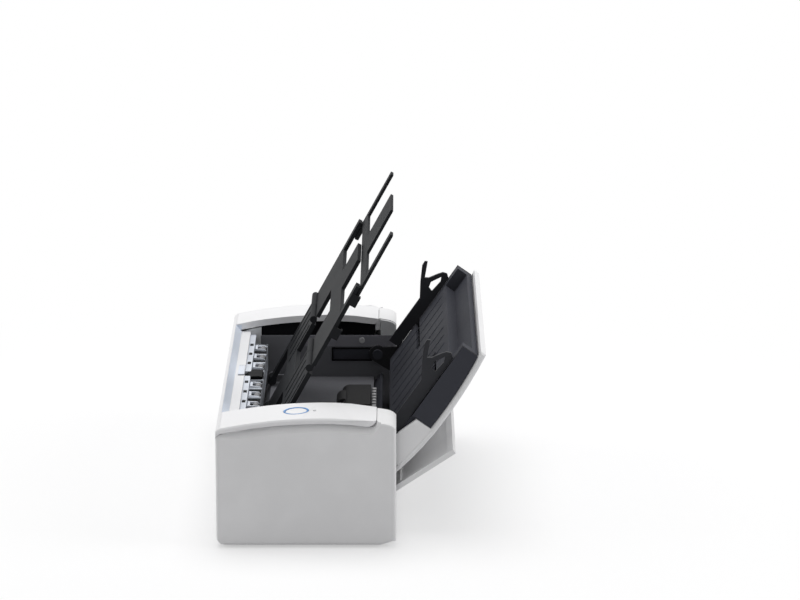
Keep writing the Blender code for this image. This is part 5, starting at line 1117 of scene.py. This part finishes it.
spring = linked("button_spring", bpy.data.meshes.new("button_spring"))
coil = spring.modifiers.new("spring", "NODES")
coil.node_group = spring_tree
spring_foot = button @ (Vector((0.0, 0.0, -SPRING_FOOT)) * MM)
spring_values = {**SPRING_SIZES, "Place": tuple(spring_foot), "Lean": tuple(button.to_euler()),
                 "Finish": shaft_steel.material}
for title, value in spring_values.items():
    coil[spring_keys[title]] = value
settle(baked(spring), "front_section", shaft_steel)
print("spring made,", SPRING_SIZES["Turns"], "turns")

# %% [markdown]
# ## Bearings
# Three of the shafts turn in pale bushings pressed into the right side frame. A bushing is a flanged
# ring, so its profile is closed in itself and turned with a hole left in the middle.

# %% Bushings
BORE = 2.75
BUSHING_STANDS_IN = 1.32
BUSHING_PROFILE = [(0.0, BORE), (0.0, BORE * 1.9), (0.5, BORE * 1.9), (0.7, BORE * 1.75),
                   (0.7, BORE * 1.35), (1.3, BORE * 1.3), (1.3, BORE)]

for shaft, joint in (("feed_shaft", "feed_roller_spin"), ("exit_shaft", "exit_roller_spin"),
                     ("transfer_shaft", "transfer_spin")):
    start = Vector(joints[joint]["pos_m"])
    start.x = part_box("right_side_frame")[0].x - BUSHING_STANDS_IN * MM
    ring = Bench().turned(BUSHING_PROFILE, start, (1, 0, 0), 24, closed=True)
    ring.make(shaft + "_bushing", "case", gear_ivory, "gear_white")
print("bushings pressed in")

# %% [markdown]
# ## Board parts
# The board carries packages, a few round capacitors and a long row of bright pins in front of them.
# Blocks and turned profiles are enough for these, and the tree repeats the pins.

# %% Packages, capacitors and pins
CHIPS = 4
CHIP_FIRST, CHIP_PITCH, CHIP_SIZE = 22, 32, 7
CHIP_FROM_EDGE = 3.5
CHIP_UP = (-1.7, 0.2)
CAPACITOR_BESIDE = 14
CAPACITOR_PROFILE = [(-1.6, 2.0), (2.6, 2.0), (2.9, 1.8), (2.9, 1.2), (2.75, 0.0)]
PINS, PIN_FIRST, PIN_PITCH, PIN_WIDTH = 90, 12, 1.4, 0.45
PIN_BACK = (1.9, 3.6)
PIN_UP = (-1.7, -0.9)

board_low, board_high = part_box("main_board")
board_x = board_low.x / MM
board_y = (board_low.y - FRONT) / MM
board_top = board_high.z / MM


def raised(span, by):
    return [value + by for value in span]


chips = Bench()
caps = Bench()
for place in range(CHIPS):
    x = board_x + CHIP_FIRST + place * CHIP_PITCH
    y = board_y + CHIP_FROM_EDGE
    chips.block((x, x + CHIP_SIZE), (y, y + CHIP_SIZE), raised(CHIP_UP, board_top), 0.15)
    caps.turned(CAPACITOR_PROFILE, spot(x + CAPACITOR_BESIDE, y + CHIP_SIZE / 2, board_top), (0, 0, 1), 20)
chips.make("board_packages", "case", deep_black, "dark")
caps.make("board_capacitors", "case", zinc_sheet, "zinc")
pin = Bench().block((0, PIN_WIDTH), raised(PIN_BACK, board_y), raised(PIN_UP, board_top), 0)
in_row("board_pins", pin, PINS, board_x + PIN_FIRST, PIN_PITCH, "case", shaft_steel)
print(CHIPS, "packages and", PINS, "pins placed")

# %% [markdown]
# ## The underside
# A flat base looks unfinished from below, so it gets what such machines have: rubber foot pads with a
# hollow middle, which replace the plain CAD feet, and a row of air slots.

# %% Foot pads and air slots
PAD_HEIGHT = 1.2
PAD_HOLLOW_UP = 0.9
SLOTS, SLOT_FIRST, SLOT_PITCH, SLOT_WIDTH = 16, -96, 4.2, 1.6
SLOT_BACK = (34, 62)
SLOT_UP = (-0.12, 0.4)

for name in ("front_right", "front_left", "rear_right", "rear_left"):
    low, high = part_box(name + "_foot")
    radius = (high.x - low.x) / 2 / MM
    pad_top = (low + high) / 2
    pad_top.z = high.z
    profile = [(0.0, radius), (0.6, radius), (1.05, radius - 0.3), (PAD_HEIGHT, radius - 0.9),
               (PAD_HEIGHT, radius * 0.55), (PAD_HOLLOW_UP, radius * 0.45), (PAD_HOLLOW_UP, 0.0)]
    pad = Bench().turned(profile, pad_top, (0, 0, -1), 32)
    pad.make(name + "_foot_pad", "case", rubber_black, "rubber", [name + "_foot"])
air_slot = Bench().block((0, SLOT_WIDTH), SLOT_BACK, raised(SLOT_UP, BASE), 0.1)
in_row("air_slots", air_slot, SLOTS, SLOT_FIRST, SLOT_PITCH, "case", deep_black)
print("four pads and", SLOTS, "air slots")

# %% [markdown]
# ## Close the scene
# The last line sets the Standard view transform.

# %% The last line
bpy.context.scene.view_settings.view_transform = "Standard"
